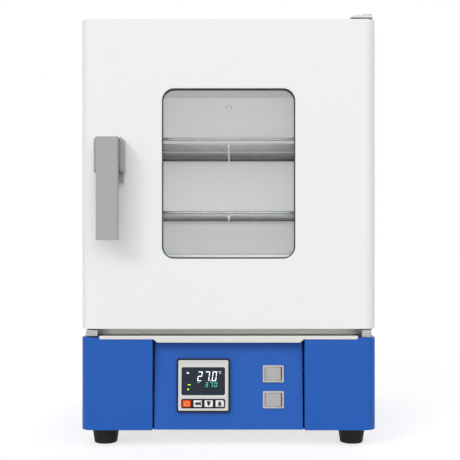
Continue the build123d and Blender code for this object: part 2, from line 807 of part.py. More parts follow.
# Slotted floor plate that stands over the heater on its folded sides
plate_rise = 50.0
plate_front = 5.0
plate_rear_gap = 6.0
plate_slot = (42.0, 6.0)
plate_pitch = (54.0, 30.0)
plate_columns = int((chamber_width - plate_slot[0]) / plate_pitch[0]) + 1
plate_rows = int((chamber_depth - plate_pitch[1]) / plate_pitch[1])
plate_top = chamber_bottom + plate_rise
with BuildPart() as floor_plate:
    plate_half = chamber_width / 2 - seat
    plate_start = frame_face + plate_front
    plate_end = chamber_back - plate_rear_gap
    with BuildSketch(Plane.XY.offset(plate_top - sheet)):
        box_face(-plate_half, plate_half, plate_start, plate_end)
        with Locations((0, (plate_start + plate_end) / 2)):
            with GridLocations(plate_pitch[0], plate_pitch[1], plate_columns, plate_rows):
                Rectangle(*plate_slot, mode=Mode.SUBTRACT)
    extrude(amount=sheet)
    with BuildSketch(Plane.XY.offset(chamber_bottom + chamber_radius)):
        box_face(-plate_half, -plate_half + sheet, plate_start, plate_end)
        box_face(plate_half - sheet, plate_half, plate_start, plate_end)
    extrude(amount=plate_rise - chamber_radius)
    with BuildSketch(upright(plate_start)):
        for side in (-1, 1):
            foot_half = plate_half - chamber_radius
            with Locations((side * foot_half, chamber_bottom + chamber_radius + sheet / 2)):
                Rectangle(2 * chamber_radius, sheet)
            with Locations((side * (foot_half - chamber_radius), chamber_bottom + chamber_radius / 2)):
                Rectangle(sheet, chamber_radius + 2 * sheet)
    extrude(amount=plate_end - plate_start, dir=rearward)
    with BuildSketch(Plane.XY.offset(chamber_bottom - sheet)):
        box_face(-plate_half, plate_half, plate_start, plate_end)
    extrude(amount=sheet, mode=Mode.SUBTRACT)
floor_plate.part.label = "floor_plate"
export_step(floor_plate.part, "parts/floor_plate.step")

# Shelf rails: a side plate with four ledges, on the left and the right
ledge_total = 1 + int((chamber_height - shelf_base_level - shelf_head) / shelf_pitch)
level_heights = [chamber_bottom + shelf_base_level + i * shelf_pitch for i in range(ledge_total)]
ledge_drop = rod_radius + 2 * wire_radius - weld + seat
rail_front = frame_face + shelf_set_back - shelf_play
rail_back = frame_face + shelf_set_back + shelf_depth
rail_outer = chamber_width / 2 - seat
rail_bottom = plate_top + seat
rail_top = level_heights[-1] + shelf_pitch / 2
with BuildPart() as shelf_rails:
    with BuildSketch(upright(rail_front)):
        for side in (-1, 1):
            with Locations((side * (rail_outer - rail_sheet / 2), (rail_bottom + rail_top) / 2)):
                Rectangle(rail_sheet, rail_top - rail_bottom)
            for level in level_heights:
                ledge_z = level - ledge_drop - rail_sheet / 2
                with Locations((side * (rail_outer - ledge_width / 2), ledge_z)):
                    Rectangle(ledge_width, rail_sheet)
    extrude(amount=rail_back - rail_front, dir=rearward)
shelf_rails.part.label = "shelf_rails"
export_step(shelf_rails.part, "parts/shelf_rails.step")


def wire_shelf(name, rod_z):
    # wire rack: a closed rod with cross wires welded under it and one stiffener below them
    shelf_front = frame_face + shelf_set_back
    shelf_back = shelf_front + shelf_depth
    wire_z = rod_z - rod_radius - wire_radius + weld
    last_wire = int((shelf_depth - wire_start - rod_radius) / wire_pitch)
    rows = [i for i in range(last_wire + 1) if i not in wires_skipped]
    with BuildPart() as shelf:
        with BuildLine(Plane.XY.offset(rod_z)) as rod_path:
            inner_front = shelf_front + rod_radius
            inner_back = shelf_back - rod_radius
            FilletPolyline(
                (shelf_half, inner_front),
                (shelf_half, inner_back),
                (-shelf_half, inner_back),
                (-shelf_half, inner_front),
                radius=4 * rod_radius,
                close=True,
            )
        with BuildSketch(Plane(origin=rod_path.line @ 0, z_dir=rod_path.line % 0)):
            RegularPolygon(rod_radius, wire_sides)
        sweep()
        with BuildSketch(Plane.YZ.offset(-shelf_half)):
            for row in rows:
                with Locations((shelf_front + wire_start + row * wire_pitch, wire_z)):
                    RegularPolygon(wire_radius, wire_sides)
        extrude(amount=2 * shelf_half)
        first_wire = shelf_front + wire_start
        with BuildSketch(upright(first_wire)):
            with Locations((0, wire_z - 2 * wire_radius + weld)):
                RegularPolygon(wire_radius, wire_sides)
        extrude(amount=shelf_back - first_wire, dir=rearward)
    shelf.part.label = name
    export_step(shelf.part, "parts/" + name + ".step")


wire_shelf("shelf_lower", level_heights[lower_ledge_count - 1])
wire_shelf("shelf_upper", level_heights[upper_ledge_count - 1])

# Temperature sensor: a thin rod held by its nut in the rear wall
with BuildPart() as sensor_probe:
    with BuildSketch(upright(chamber_back - sensor_length)):
        with Locations((sensor_x, sensor_z)):
            Circle(sensor_radius)
    extrude(amount=sensor_length + sensor_tail, dir=rearward)
    with BuildSketch(upright(chamber_back - sensor_nut)):
        with Locations((sensor_x, sensor_z)):
            RegularPolygon(sensor_nut_radius, 6)
    extrude(amount=sensor_nut, dir=rearward)
sensor_probe.part.label = "sensor_probe"
export_step(sensor_probe.part, "parts/sensor_probe.step")

# Rear vent: lined bore, outer flange and a damper that swings over it
with BuildPart() as vent_bush:
    with BuildSketch(upright(chamber_back)):
        with Locations((0, vent_z)):
            Circle(vent_bush_radius)
            Circle(vent_bore, mode=Mode.SUBTRACT)
    extrude(amount=cabinet_back - chamber_back, dir=rearward)
vent_bush.part.label = "vent_bush"
export_step(vent_bush.part, "parts/vent_bush.step")

damper_pivot_x = damper_arm
damper_face = cabinet_back + vent_flange_thickness + seat
with BuildPart() as vent_flange:
    with BuildSketch(upright(cabinet_back)):
        with Locations((damper_arm / 2, vent_z)):
            flange_height = 2 * (damper_radius + flange_border)
            RectangleRounded(damper_arm + flange_height, flange_height, flange_border)
        with Locations((0, vent_z)):
            Circle(vent_bore, mode=Mode.SUBTRACT)
        with Locations((damper_pivot_x, vent_z)):
            Circle(damper_screw_radius + running, mode=Mode.SUBTRACT)
    extrude(amount=vent_flange_thickness, dir=rearward)
vent_flange.part.label = "vent_flange"
export_step(vent_flange.part, "parts/vent_flange.step")

damper_back = damper_face + damper_thickness
knob_radius = 4.5
with BuildPart() as vent_damper:
    with BuildSketch(upright(damper_face)):
        with Locations((damper_pivot_x, vent_z - damper_arm)):
            Circle(damper_radius)
        with Locations((damper_pivot_x, vent_z)):
            Circle(damper_radius * 0.6)
        with Locations((damper_pivot_x, vent_z - damper_arm / 2)):
            Rectangle(damper_radius * 1.2, damper_arm)
        with Locations((damper_pivot_x, vent_z)):
            Circle(damper_screw_radius + running, mode=Mode.SUBTRACT)
    extrude(amount=damper_thickness, dir=rearward)
    with BuildSketch(upright(damper_back)):
        with Locations((damper_pivot_x, vent_z - damper_arm)):
            Circle(knob_radius)
    extrude(amount=cabinet_back + rear_reach - damper_back, dir=rearward)
vent_damper.part.label = "vent_damper"
export_step(vent_damper.part, "parts/vent_damper.step")

with BuildPart() as damper_screw:
    with BuildSketch(upright(cabinet_back)):
        with Locations((damper_pivot_x, vent_z)):
            Circle(damper_screw_radius)
    extrude(amount=damper_back + seat - cabinet_back, dir=rearward)
    with BuildSketch(upright(damper_back + seat)):
        with Locations((damper_pivot_x, vent_z)):
            Circle(screw_head_radius)
    extrude(amount=screw_head_height, dir=rearward)
damper_screw.part.label = "damper_screw"
export_step(damper_screw.part, "parts/damper_screw.step")

# Screws of the feet, the rear panels and the inlet, all of one kind
screw_inset = 12.0
rear_screw_places = [
    (side * (width / 2 - screw_inset), z)
    for side in (-1, 1)
    for z in (
        base_bottom + screw_inset,
        base_top - screw_inset,
        base_top + screw_inset,
        chamber_mid,
        cabinet_top - screw_inset,
    )
]
nut_height = 3.0
with BuildPart() as cabinet_screws:
    with BuildSketch(upright(cabinet_back)):
        with Locations(*rear_screw_places):
            RegularPolygon(screw_head_radius, 6)
    extrude(amount=screw_head_height, dir=rearward)
    with BuildSketch(upright(cabinet_back - inlet_flange_thickness)):
        with Locations((inlet_x, inlet_z)):
            with GridLocations(inlet_screw_spacing, 0, 2, 1):
                Circle(inlet_screw_radius)
    extrude(amount=2 * inlet_flange_thickness + screw_head_height, dir=rearward)
    with BuildSketch(upright(flange_back)):
        with Locations((inlet_x, inlet_z)):
            with GridLocations(inlet_screw_spacing, 0, 2, 1):
                RegularPolygon(2 * inlet_screw_radius, 6)
    extrude(amount=screw_head_height, dir=rearward)
    with BuildSketch(Plane.XY.offset(foot_counterbore_depth)):
        with Locations(*foot_places.values()):
            Circle(foot_screw_radius)
    extrude(amount=foot_height + sheet + nut_height - foot_counterbore_depth)
    with BuildSketch(Plane.XY.offset(foot_counterbore_depth - screw_head_height)):
        with Locations(*foot_places.values()):
            RegularPolygon(screw_head_radius, 6)
    extrude(amount=screw_head_height)
    with BuildSketch(Plane.XY.offset(base_bottom + sheet)):
        with Locations(*foot_places.values()):
            RegularPolygon(screw_head_radius, 6)
    extrude(amount=nut_height)
cabinet_screws.part.label = "cabinet_screws"
export_step(cabinet_screws.part, "parts/cabinet_screws.step")

# Door skin: a white pan with rounded upright edges and the window's hole
latch_hole_half = 3.2
latch_hole_top = pivot_z + roller_radius + 1.0
latch_hole_bottom = pivot_z - latch_travel - roller_radius - 1.0
with BuildPart() as door_skin:
    with BuildSketch(Plane.XY.offset(door_bottom)):
        round_fronted(width / 2, door_face, door_back, door_radius)
    extrude(amount=door_height)
    with BuildSketch(Plane.XY.offset(door_bottom + sheet)):
        round_fronted(width / 2 - sheet, door_face + sheet, door_back, door_radius - sheet)
    extrude(amount=door_height - 2 * sheet, mode=Mode.SUBTRACT)
    with BuildSketch(upright(door_face)):
        with Locations((0, chamber_mid)):
            RectangleRounded(window_width, window_height, window_radius)
        finger_slot = (handle_x - latch_hole_half, handle_x + latch_hole_half)
        box_face(*finger_slot, latch_hole_bottom, latch_hole_top)
    extrude(amount=sheet, dir=rearward, mode=Mode.SUBTRACT)
    with BuildSketch(Plane.XY.offset(door_bottom)):
        with Locations((hinge_x, hinge_y)):
            Circle(bush_radius + running)
    extrude(amount=door_height, mode=Mode.SUBTRACT)
door_skin.part.label = "door_skin"
export_step(door_skin.part, "parts/door_skin.step")

# Inner door panel: a stainless plate with a raised plug that enters the chamber's mouth
plug_width = chamber_width - 2 * plug_gap
plug_height = chamber_height - 2 * plug_gap
view_width = window_width + 2 * inner_view
view_height = window_height + 2 * inner_view
pane_width = window_width + 2 * glass_margin + 2 * spacer_margin
pane_height = window_height + 2 * glass_margin + 2 * spacer_margin
arm_slot_x = latch_arm_x - latch_arm_thickness / 2
arm_slot_half = latch_arm_thickness / 2 + 1.5
arm_slot_top = latch_z + latch_nose_radius + 1.0
arm_slot_bottom = latch_z - latch_travel - latch_nose_radius - 1.0
with BuildPart() as door_inner:
    with BuildSketch(upright(door_back - sheet)):
        inner_edge = width / 2 - sheet - seat
        box_face(-inner_edge, inner_edge, door_bottom + sheet + seat, door_top - sheet - seat)
    extrude(amount=sheet, dir=rearward)
    with BuildSketch(upright(door_back)):
        with Locations((0, chamber_mid)):
            RectangleRounded(plug_width, plug_height, plug_radius)
    extrude(amount=plug_depth, dir=rearward)
    with BuildSketch(upright(door_back - sheet)):
        with Locations((0, chamber_mid)):
            RectangleRounded(plug_width - 2 * sheet, plug_height - 2 * sheet, plug_radius - sheet)
    extrude(amount=plug_depth, dir=rearward, mode=Mode.SUBTRACT)
    with BuildSketch(upright(door_back - sheet)):
        with Locations((0, chamber_mid)):
            RectangleRounded(view_width, view_height, window_radius)
        with Locations((arm_slot_x, (arm_slot_top + arm_slot_bottom) / 2)):
            Rectangle(2 * arm_slot_half, arm_slot_top - arm_slot_bottom)
    extrude(amount=plug_depth + sheet, dir=rearward, mode=Mode.SUBTRACT)
door_inner.part.label = "door_inner"
export_step(door_inner.part, "parts/door_inner.step")

# Window gasket: black rubber that lines the hole and holds the outer pane
bead_width = window_width - 2 * running
bead_height = window_height - 2 * running
clear_width = window_width - 2 * window_lip
clear_height = window_height - 2 * window_lip
clear_radius = window_radius - window_lip
outer_width = window_width + 2 * glass_margin
outer_height = window_height + 2 * glass_margin
glass_front = door_face + gasket_depth + seat
with BuildPart() as window_gasket:
    with BuildSketch(upright(door_face - window_bead)):
        with Locations((0, chamber_mid)):
            RectangleRounded(bead_width, bead_height, window_radius)
    extrude(amount=window_bead + sheet + seat, dir=rearward)
    with BuildSketch(upright(door_face + sheet + seat)):
        with Locations((0, chamber_mid)):
            RectangleRounded(outer_width, outer_height, window_radius)
    extrude(amount=gasket_depth - sheet - seat, dir=rearward)
    with BuildSketch(upright(door_face - window_bead)):
        with Locations((0, chamber_mid)):
            RectangleRounded(clear_width, clear_height, clear_radius)
    extrude(amount=window_bead + gasket_depth, dir=rearward, mode=Mode.SUBTRACT)
window_gasket.part.label = "window_gasket"
export_step(window_gasket.part, "parts/window_gasket.step")

with BuildPart() as outer_glass:
    with BuildSketch(upright(glass_front)):
        with Locations((0, chamber_mid)):
            RectangleRounded(outer_width, outer_height, window_radius)
    extrude(amount=glass_thickness, dir=rearward)
outer_glass.part.label = "outer_glass"
export_step(outer_glass.part, "parts/outer_glass.step")

pane_back = door_back + plug_depth - sheet - seat
pane_front = pane_back - glass_thickness
with BuildPart() as inner_glass:
    with BuildSketch(upright(pane_front)):
        with Locations((0, chamber_mid)):
            RectangleRounded(pane_width, pane_height, window_radius)
    extrude(amount=glass_thickness, dir=rearward)
inner_glass.part.label = "inner_glass"
export_step(inner_glass.part, "parts/inner_glass.step")

# Window spacer: a folded channel that keeps the two panes apart
spacer_front = glass_front + glass_thickness + seat
spacer_back = pane_front - seat
with BuildPart() as window_spacer:
    with BuildSketch(upright(spacer_front)):
        with Locations((0, chamber_mid)):
            spacer_outer = (view_width + 2 * spacer_wall, view_height + 2 * spacer_wall)
            RectangleRounded(*spacer_outer, window_radius)
            RectangleRounded(view_width, view_height, window_radius - spacer_wall, mode=Mode.SUBTRACT)
    extrude(amount=spacer_back - spacer_front, dir=rearward)
window_spacer.part.label = "window_spacer"
export_step(window_spacer.part, "parts/window_spacer.step")

# Door seal: a silicone ring round the plug
seal_width = 8.0
seal_offset = 3.0
with BuildPart() as door_seal:
    with BuildSketch(upright(door_back)):
        with Locations((0, chamber_mid)):
            seal_inner = (chamber_width + 2 * seal_offset, chamber_height + 2 * seal_offset)
            seal_outer = (seal_inner[0] + 2 * seal_width, seal_inner[1] + 2 * seal_width)
            RectangleRounded(*seal_outer, chamber_radius + seal_offset + seal_width)
            RectangleRounded(*seal_inner, chamber_radius + seal_offset, mode=Mode.SUBTRACT)
    extrude(amount=seal_gap - seat, dir=rearward)
    seal_edges = door_seal.faces().sort_by(Axis.Y)[-1].edges()
    chamfer(seal_edges, (seal_gap - seat) / 2)
door_seal.part.label = "door_seal"
export_step(door_seal.part, "parts/door_seal.step")

# Latch guide: a shallow cover inside the door in which the latch bar slides
guide_side = 3.0
guide_end = 4.0
guide_left = latch_arm_x - latch_arm_thickness - guide_side
guide_right = handle_x + latch_bar_half + guide_end
guide_top = pivot_z + latch_bar_rise + guide_end
guide_bottom = latch_z - latch_travel - latch_arm_height - guide_end
guide_start = door_face + sheet
guide_depth = 8.0
with BuildPart() as latch_guide:
    with BuildSketch(upright(guide_start)):
        box_face(guide_left, guide_right, guide_bottom, guide_top)
    extrude(amount=guide_depth, dir=rearward)
    with BuildSketch(upright(guide_start)):
        inner_left = guide_left + guide_wall
        inner_right = guide_right - guide_wall
        box_face(inner_left, inner_right, guide_bottom + guide_wall, guide_top - guide_wall)
    extrude(amount=guide_depth - guide_wall, dir=rearward, mode=Mode.SUBTRACT)
    with BuildSketch(upright(guide_start)):
        with Locations((arm_slot_x, (arm_slot_top + arm_slot_bottom) / 2)):
            Rectangle(2 * arm_slot_half, arm_slot_top - arm_slot_bottom)
    extrude(amount=guide_depth, dir=rearward, mode=Mode.SUBTRACT)
latch_guide.part.label = "latch_guide"
export_step(latch_guide.part, "parts/latch_guide.step")

# Mineral wool in the door, round the window and the latch
door_wool_front = guide_start + guide_depth + seat
door_wool_back = door_back - sheet - seat
wool_clear = 2.0
with BuildPart() as door_insulation:
    with BuildSketch(upright(door_wool_front)):
        wool_edge = width / 2 - sheet - seat
        box_face(-wool_edge, wool_edge, door_bottom + sheet + seat, door_top - sheet - seat)
        with Locations((0, chamber_mid)):
            hole = (pane_width + 2 * wool_clear, pane_height + 2 * wool_clear)
            RectangleRounded(*hole, window_radius, mode=Mode.SUBTRACT)
        with Locations((arm_slot_x, (arm_slot_top + arm_slot_bottom) / 2)):
            Rectangle(2 * arm_slot_half, arm_slot_top - arm_slot_bottom, mode=Mode.SUBTRACT)
    extrude(amount=door_wool_back - door_wool_front, dir=rearward)
    wool_uprights = door_insulation.edges().filter_by(Axis.Z).group_by(Axis.Y)[0]
    outer_uprights = [e for e in wool_uprights if abs(e.center().X) > wool_edge - 1]
    chamfer(outer_uprights, door_radius / 2)
    with BuildSketch(Plane.XY.offset(door_bottom)):
        with Locations((hinge_x, hinge_y)):
            Circle(bush_radius + seat)
    extrude(amount=door_height, mode=Mode.SUBTRACT)
door_insulation.part.label = "door_insulation"
export_step(door_insulation.part, "parts/door_insulation.step")

# Hinges: a plate over the door and a block under it, each with a pin into a flanged bush
hinge_plate_thickness = 3.5
hinge_plate_width = 29.0
hinge_plate_depth = 78.0
hinge_plate_margin = 6.0
hinge_plate_taper = 8.0
pin_head = 1.5
bush_wall_length = 16.0
hinge_block_width = 14.0
hinge_block_depth = 22.0
bush_rest = 1.2
plate_right = hinge_x + hinge_plate_margin
plate_left = plate_right - hinge_plate_width
plate_near = hinge_y - hinge_plate_margin
with BuildPart() as hinge_plate_top:
    with BuildSketch(upright(plate_near)):
        outline(
            (plate_left, cabinet_top),
            (plate_right, cabinet_top),
            (plate_right, cabinet_top + hinge_plate_thickness),
            (plate_left + hinge_plate_taper, cabinet_top + hinge_plate_thickness),
            (plate_left, cabinet_top + hinge_plate_thickness / 2),
        )
    extrude(amount=hinge_plate_depth, dir=rearward)
    with BuildSketch(Plane.XY.offset(door_top - hinge_pin_length)):
        with Locations((hinge_x, hinge_y)):
            Circle(hinge_pin_radius)
    extrude(amount=hinge_pin_length + door_drop + hinge_plate_thickness)
    with BuildSketch(Plane.XY.offset(cabinet_top + hinge_plate_thickness)):
        with Locations((hinge_x, hinge_y)):
            Circle(1.4 * hinge_pin_radius)
    extrude(amount=pin_head)
hinge_plate_top.part.label = "hinge_plate_top"
export_step(hinge_plate_top.part, "parts/hinge_plate_top.step")

with BuildPart() as hinge_block_bottom:
    block_middle = hinge_x - hinge_block_width / 2 + hinge_plate_margin - 1.0
    with BuildSketch(Plane.XY.offset(base_top)):
        with Locations((block_middle, hinge_y + hinge_block_depth / 2 - hinge_plate_margin)):
            RectangleRounded(hinge_block_width, hinge_block_depth, 2.0)
    extrude(amount=door_gap - bush_rest - seat)
    with BuildSketch(Plane.XY.offset(base_top)):
        with Locations((hinge_x, hinge_y)):
            Circle(hinge_pin_radius)
    extrude(amount=door_gap + hinge_pin_length)
hinge_block_bottom.part.label = "hinge_block_bottom"
export_step(hinge_block_bottom.part, "parts/hinge_block_bottom.step")

with BuildPart() as hinge_bushes:
    with BuildSketch(Plane.XY.offset(door_top - bush_wall_length)):
        with Locations((hinge_x, hinge_y)):
            Circle(bush_radius)
    extrude(amount=bush_wall_length)
    with BuildSketch(Plane.XY.offset(door_top)):
        with Locations((hinge_x, hinge_y)):
            Circle(bush_flange_radius)
    extrude(amount=door_drop - seat)
    with BuildSketch(Plane.XY.offset(door_bottom - bush_rest)):
        with Locations((hinge_x, hinge_y)):
            Circle(bush_flange_radius)
    extrude(amount=bush_rest)
    with BuildSketch(Plane.XY.offset(door_bottom)):
        with Locations((hinge_x, hinge_y)):
            Circle(bush_radius)
    extrude(amount=bush_wall_length)
    with BuildSketch(Plane.XY.offset(door_bottom - bush_rest)):
        with Locations((hinge_x, hinge_y)):
            Circle(hinge_pin_radius + running)
    extrude(amount=door_height + door_drop + bush_rest, mode=Mode.SUBTRACT)
hinge_bushes.part.label = "hinge_bushes"
export_step(hinge_bushes.part, "parts/hinge_bushes.step")

# Handle housing: two cheeks on a back plate, with a thicker foot below them
housing_half = lever_width / 2 + seat + cheek
housing_top = lever_top + 2.0
housing_bottom = housing_top - housing_height
with BuildPart() as handle_housing:
    with BuildSketch(upright(door_face - housing_web)):
        with Locations((handle_x, (housing_bottom + housing_top) / 2)):
            RectangleRounded(2 * housing_half, housing_height, housing_radius)
        box_face(handle_x - housing_half, handle_x + housing_half, housing_bottom, pivot_z)
        foot_half = housing_foot_width / 2
        foot_bottom = housing_bottom - housing_foot_height
        box_face(handle_x - foot_half, handle_x + foot_half, foot_bottom, housing_bottom)
    extrude(amount=housing_web, dir=rearward)
    with BuildSketch(upright(door_face - housing_foot_reach)):
        box_face(handle_x - foot_half, handle_x + foot_half, foot_bottom, housing_bottom)
    extrude(amount=housing_foot_reach, dir=rearward)
    for side in (-1, 1):
        cheek_x = handle_x + side * (housing_half - cheek / 2)
        with BuildSketch(Plane.YZ.offset(cheek_x)) as cheek_profile:
            cheek_front = door_face - housing_reach
            box_face(cheek_front, door_face, housing_bottom, housing_top)
            front_corners = cheek_profile.vertices().group_by(Axis.X)[0]
            fillet(front_corners, housing_radius)
            with Locations((pivot_y, pivot_z)):
                Circle(lever_pin_radius + running, mode=Mode.SUBTRACT)
        extrude(amount=cheek / 2, both=True)
    with BuildSketch(upright(door_face - housing_foot_reach)):
        roof_half = housing_half - cheek / 2
        box_face(handle_x - roof_half, handle_x + roof_half, housing_top - 1.6, housing_top)
    extrude(amount=housing_foot_reach, dir=rearward)
    with BuildSketch(upright(door_face - housing_reach)):
        with Locations((handle_x, (housing_bottom + housing_top) / 2)):
            RectangleRounded(2 * housing_half, housing_height, housing_radius)
        box_face(handle_x - housing_half, handle_x + housing_half, housing_bottom, pivot_z)
        box_face(handle_x - foot_half, handle_x + foot_half, foot_bottom, housing_bottom)
    extrude(amount=housing_reach, dir=rearward, mode=Mode.INTERSECT)
    with BuildSketch(upright(door_face - housing_foot_reach)):
        box_face(*finger_slot, latch_hole_bottom, latch_hole_top)
    extrude(amount=housing_foot_reach, dir=rearward, mode=Mode.SUBTRACT)
handle_housing.part.label = "handle_housing"
export_step(handle_housing.part, "parts/handle_housing.step")

# Handle lever: a flat grip with a hub on the pin and a roller-ended finger that drives the latch
lever_bottom = lever_top - lever_length
grip_front = door_face - handle_reach
grip_back = grip_front + grip_thickness
with BuildPart() as handle_lever:
    with BuildSketch(Plane.YZ.offset(handle_x)):
        box_face(grip_front, grip_back, lever_bottom, lever_top)
        with Locations((pivot_y, pivot_z)):
            Circle(hub_radius)
        outline(
            (grip_front, lever_top),
            (pivot_y, lever_top),
            (pivot_y, pivot_z - hub_radius),
            (grip_back, pivot_z - 2 * hub_radius),
            (grip_front, pivot_z - 2 * hub_radius),
        )
    extrude(amount=lever_width / 2, both=True)
    front_uprights = handle_lever.edges().filter_by(Axis.Z).group_by(Axis.Y)[0]
    chamfer(front_uprights, lever_edge / 2)
    lowest_edges = handle_lever.faces().sort_by(Axis.Z)[0].edges()
    chamfer(lowest_edges, lever_edge / 4)
    with BuildSketch(Plane.YZ.offset(handle_x)):
        with Locations((pivot_y, pivot_z)):
            Circle(lever_pin_radius + running)
    extrude(amount=lever_width / 2, both=True, mode=Mode.SUBTRACT)
    with BuildSketch(upright(pivot_y + hub_radius - 1.0)):
        with Locations((handle_x, pivot_z)):
            Circle(finger_radius)
    extrude(amount=roller_reach - hub_radius + 1.0, dir=rearward)
    with BuildSketch(Plane.YZ.offset(handle_x)):
        with Locations((pivot_y + roller_reach, pivot_z)):
            Circle(roller_radius)
    extrude(amount=roller_radius, both=True)
handle_lever.part.label = "handle_lever"
export_step(handle_lever.part, "parts/handle_lever.step")

with BuildPart() as lever_pin:
    with BuildSketch(Plane.YZ.offset(handle_x)):
        with Locations((pivot_y, pivot_z)):
            Circle(lever_pin_radius)
    extrude(amount=housing_half, both=True)
lever_pin.part.label = "lever_pin"
export_step(lever_pin.part, "parts/lever_pin.step")

# Latch bar: a flat bar moved by the finger, with an arm that reaches through the door
bar_front = pivot_y + roller_reach - latch_thickness + seat
bar_top = pivot_z + latch_bar_rise
bar_bottom = latch_z - latch_arm_height / 2
nose_y = frame_face + latch_nose_reach
with BuildPart() as latch_bar:
    with BuildSketch(upright(bar_front)):
        box_face(handle_x - latch_bar_half, handle_x + latch_bar_half, bar_bottom, bar_top)
        arm_left = latch_arm_x - latch_arm_thickness
        box_face(arm_left, handle_x, bar_bottom, bar_bottom + latch_arm_height)
        with Locations((handle_x, pivot_z)):
            window = (2 * roller_radius + 1.4, 2 * (roller_radius + 0.35))
            Rectangle(*window, mode=Mode.SUBTRACT)
    extrude(amount=latch_thickness, dir=rearward)
    with BuildSketch(Plane.YZ.offset(arm_left)):
        box_face(bar_front, nose_y, bar_bottom, bar_bottom + latch_arm_height)
        with Locations((nose_y, latch_z)):
            Circle(latch_nose_radius)
    extrude(amount=latch_arm_thickness)
latch_bar.part.label = "latch_bar"
export_step(latch_bar.part, "parts/latch_bar.step")
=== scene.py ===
import json
import math

import bmesh
import bpy
from mathutils import Matrix, Vector


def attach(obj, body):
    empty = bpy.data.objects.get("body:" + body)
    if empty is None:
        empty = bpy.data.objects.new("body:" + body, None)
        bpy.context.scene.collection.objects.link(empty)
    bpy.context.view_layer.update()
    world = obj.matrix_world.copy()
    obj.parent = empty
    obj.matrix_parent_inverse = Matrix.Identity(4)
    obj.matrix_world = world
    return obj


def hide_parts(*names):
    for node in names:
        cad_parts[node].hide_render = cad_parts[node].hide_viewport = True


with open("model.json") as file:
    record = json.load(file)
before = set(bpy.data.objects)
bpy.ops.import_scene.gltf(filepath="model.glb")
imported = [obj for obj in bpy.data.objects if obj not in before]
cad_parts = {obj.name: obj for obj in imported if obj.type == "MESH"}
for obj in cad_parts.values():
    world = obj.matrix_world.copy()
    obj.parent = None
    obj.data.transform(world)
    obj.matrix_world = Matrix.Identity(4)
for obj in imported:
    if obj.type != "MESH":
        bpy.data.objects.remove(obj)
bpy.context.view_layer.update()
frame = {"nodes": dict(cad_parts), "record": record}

scene = bpy.context.scene
scene.view_settings.view_transform = "Standard"
nodeSlots = {row["node"]: row["material_slot"] for row in frame["record"]["subparts"]}
print("frame loaded:", len(frame["nodes"]), "nodes")


# stage: camera, lamps, world and floor
camera = {
    "place": (0.0019, -1.358, 0.27),
    "lens": 67.8,
    "sensor": 36,
    "shiftUp": 0.0413,
}
# broad suns light the floor evenly; a wide soft lamp in the door's plane fills the chamber
suns = {
    "keySun": {"from": (-0.75, -1.0, 0.80), "strength": 0.70, "spread": 18},
    "frontSun": {"from": (0.06, -1.0, 0.40), "strength": 1.15, "spread": 60},
    "backSun": {"from": (0.45, 1.0, 0.55), "strength": 0.50, "spread": 60},
}
lamps = {
    "chamberLamp": {
        "place": (0, -0.136, 0.372),
        "aim": (0, 0.15, 0.372),
        "size": (0.27, 0.29),
        "power": 0.45,
    },
}
surround = {
    "ambient": 0.535,
    "floorColour": (0.56, 0.56, 0.56, 1),
    "floorLift": 0.585,
    "floorReach": 60.0,
    "floorDrop": 0.0003,
}


def addNode(tree, kind, inputs=None, **settings):
    node = tree.nodes.new(kind)
    for name, value in settings.items():
        setattr(node, name, value)
    for name, value in (inputs or {}).items():
        if isinstance(value, bpy.types.NodeSocket):
            tree.links.new(value, node.inputs[name])
        else:
            node.inputs[name].default_value = value
    return node


def seenDirectly(tree):
    # 1 for camera, glossy and transmission rays
    path = addNode(tree, "ShaderNodeLightPath")
    first = addNode(tree, "ShaderNodeMath",
                    {0: path.outputs["Is Camera Ray"], 1: path.outputs["Is Glossy Ray"]},
                    operation="MAXIMUM")
    seen = addNode(tree, "ShaderNodeMath",
                   {0: first.outputs[0], 1: path.outputs["Is Transmission Ray"]}, operation="MAXIMUM")
    return seen.outputs[0]


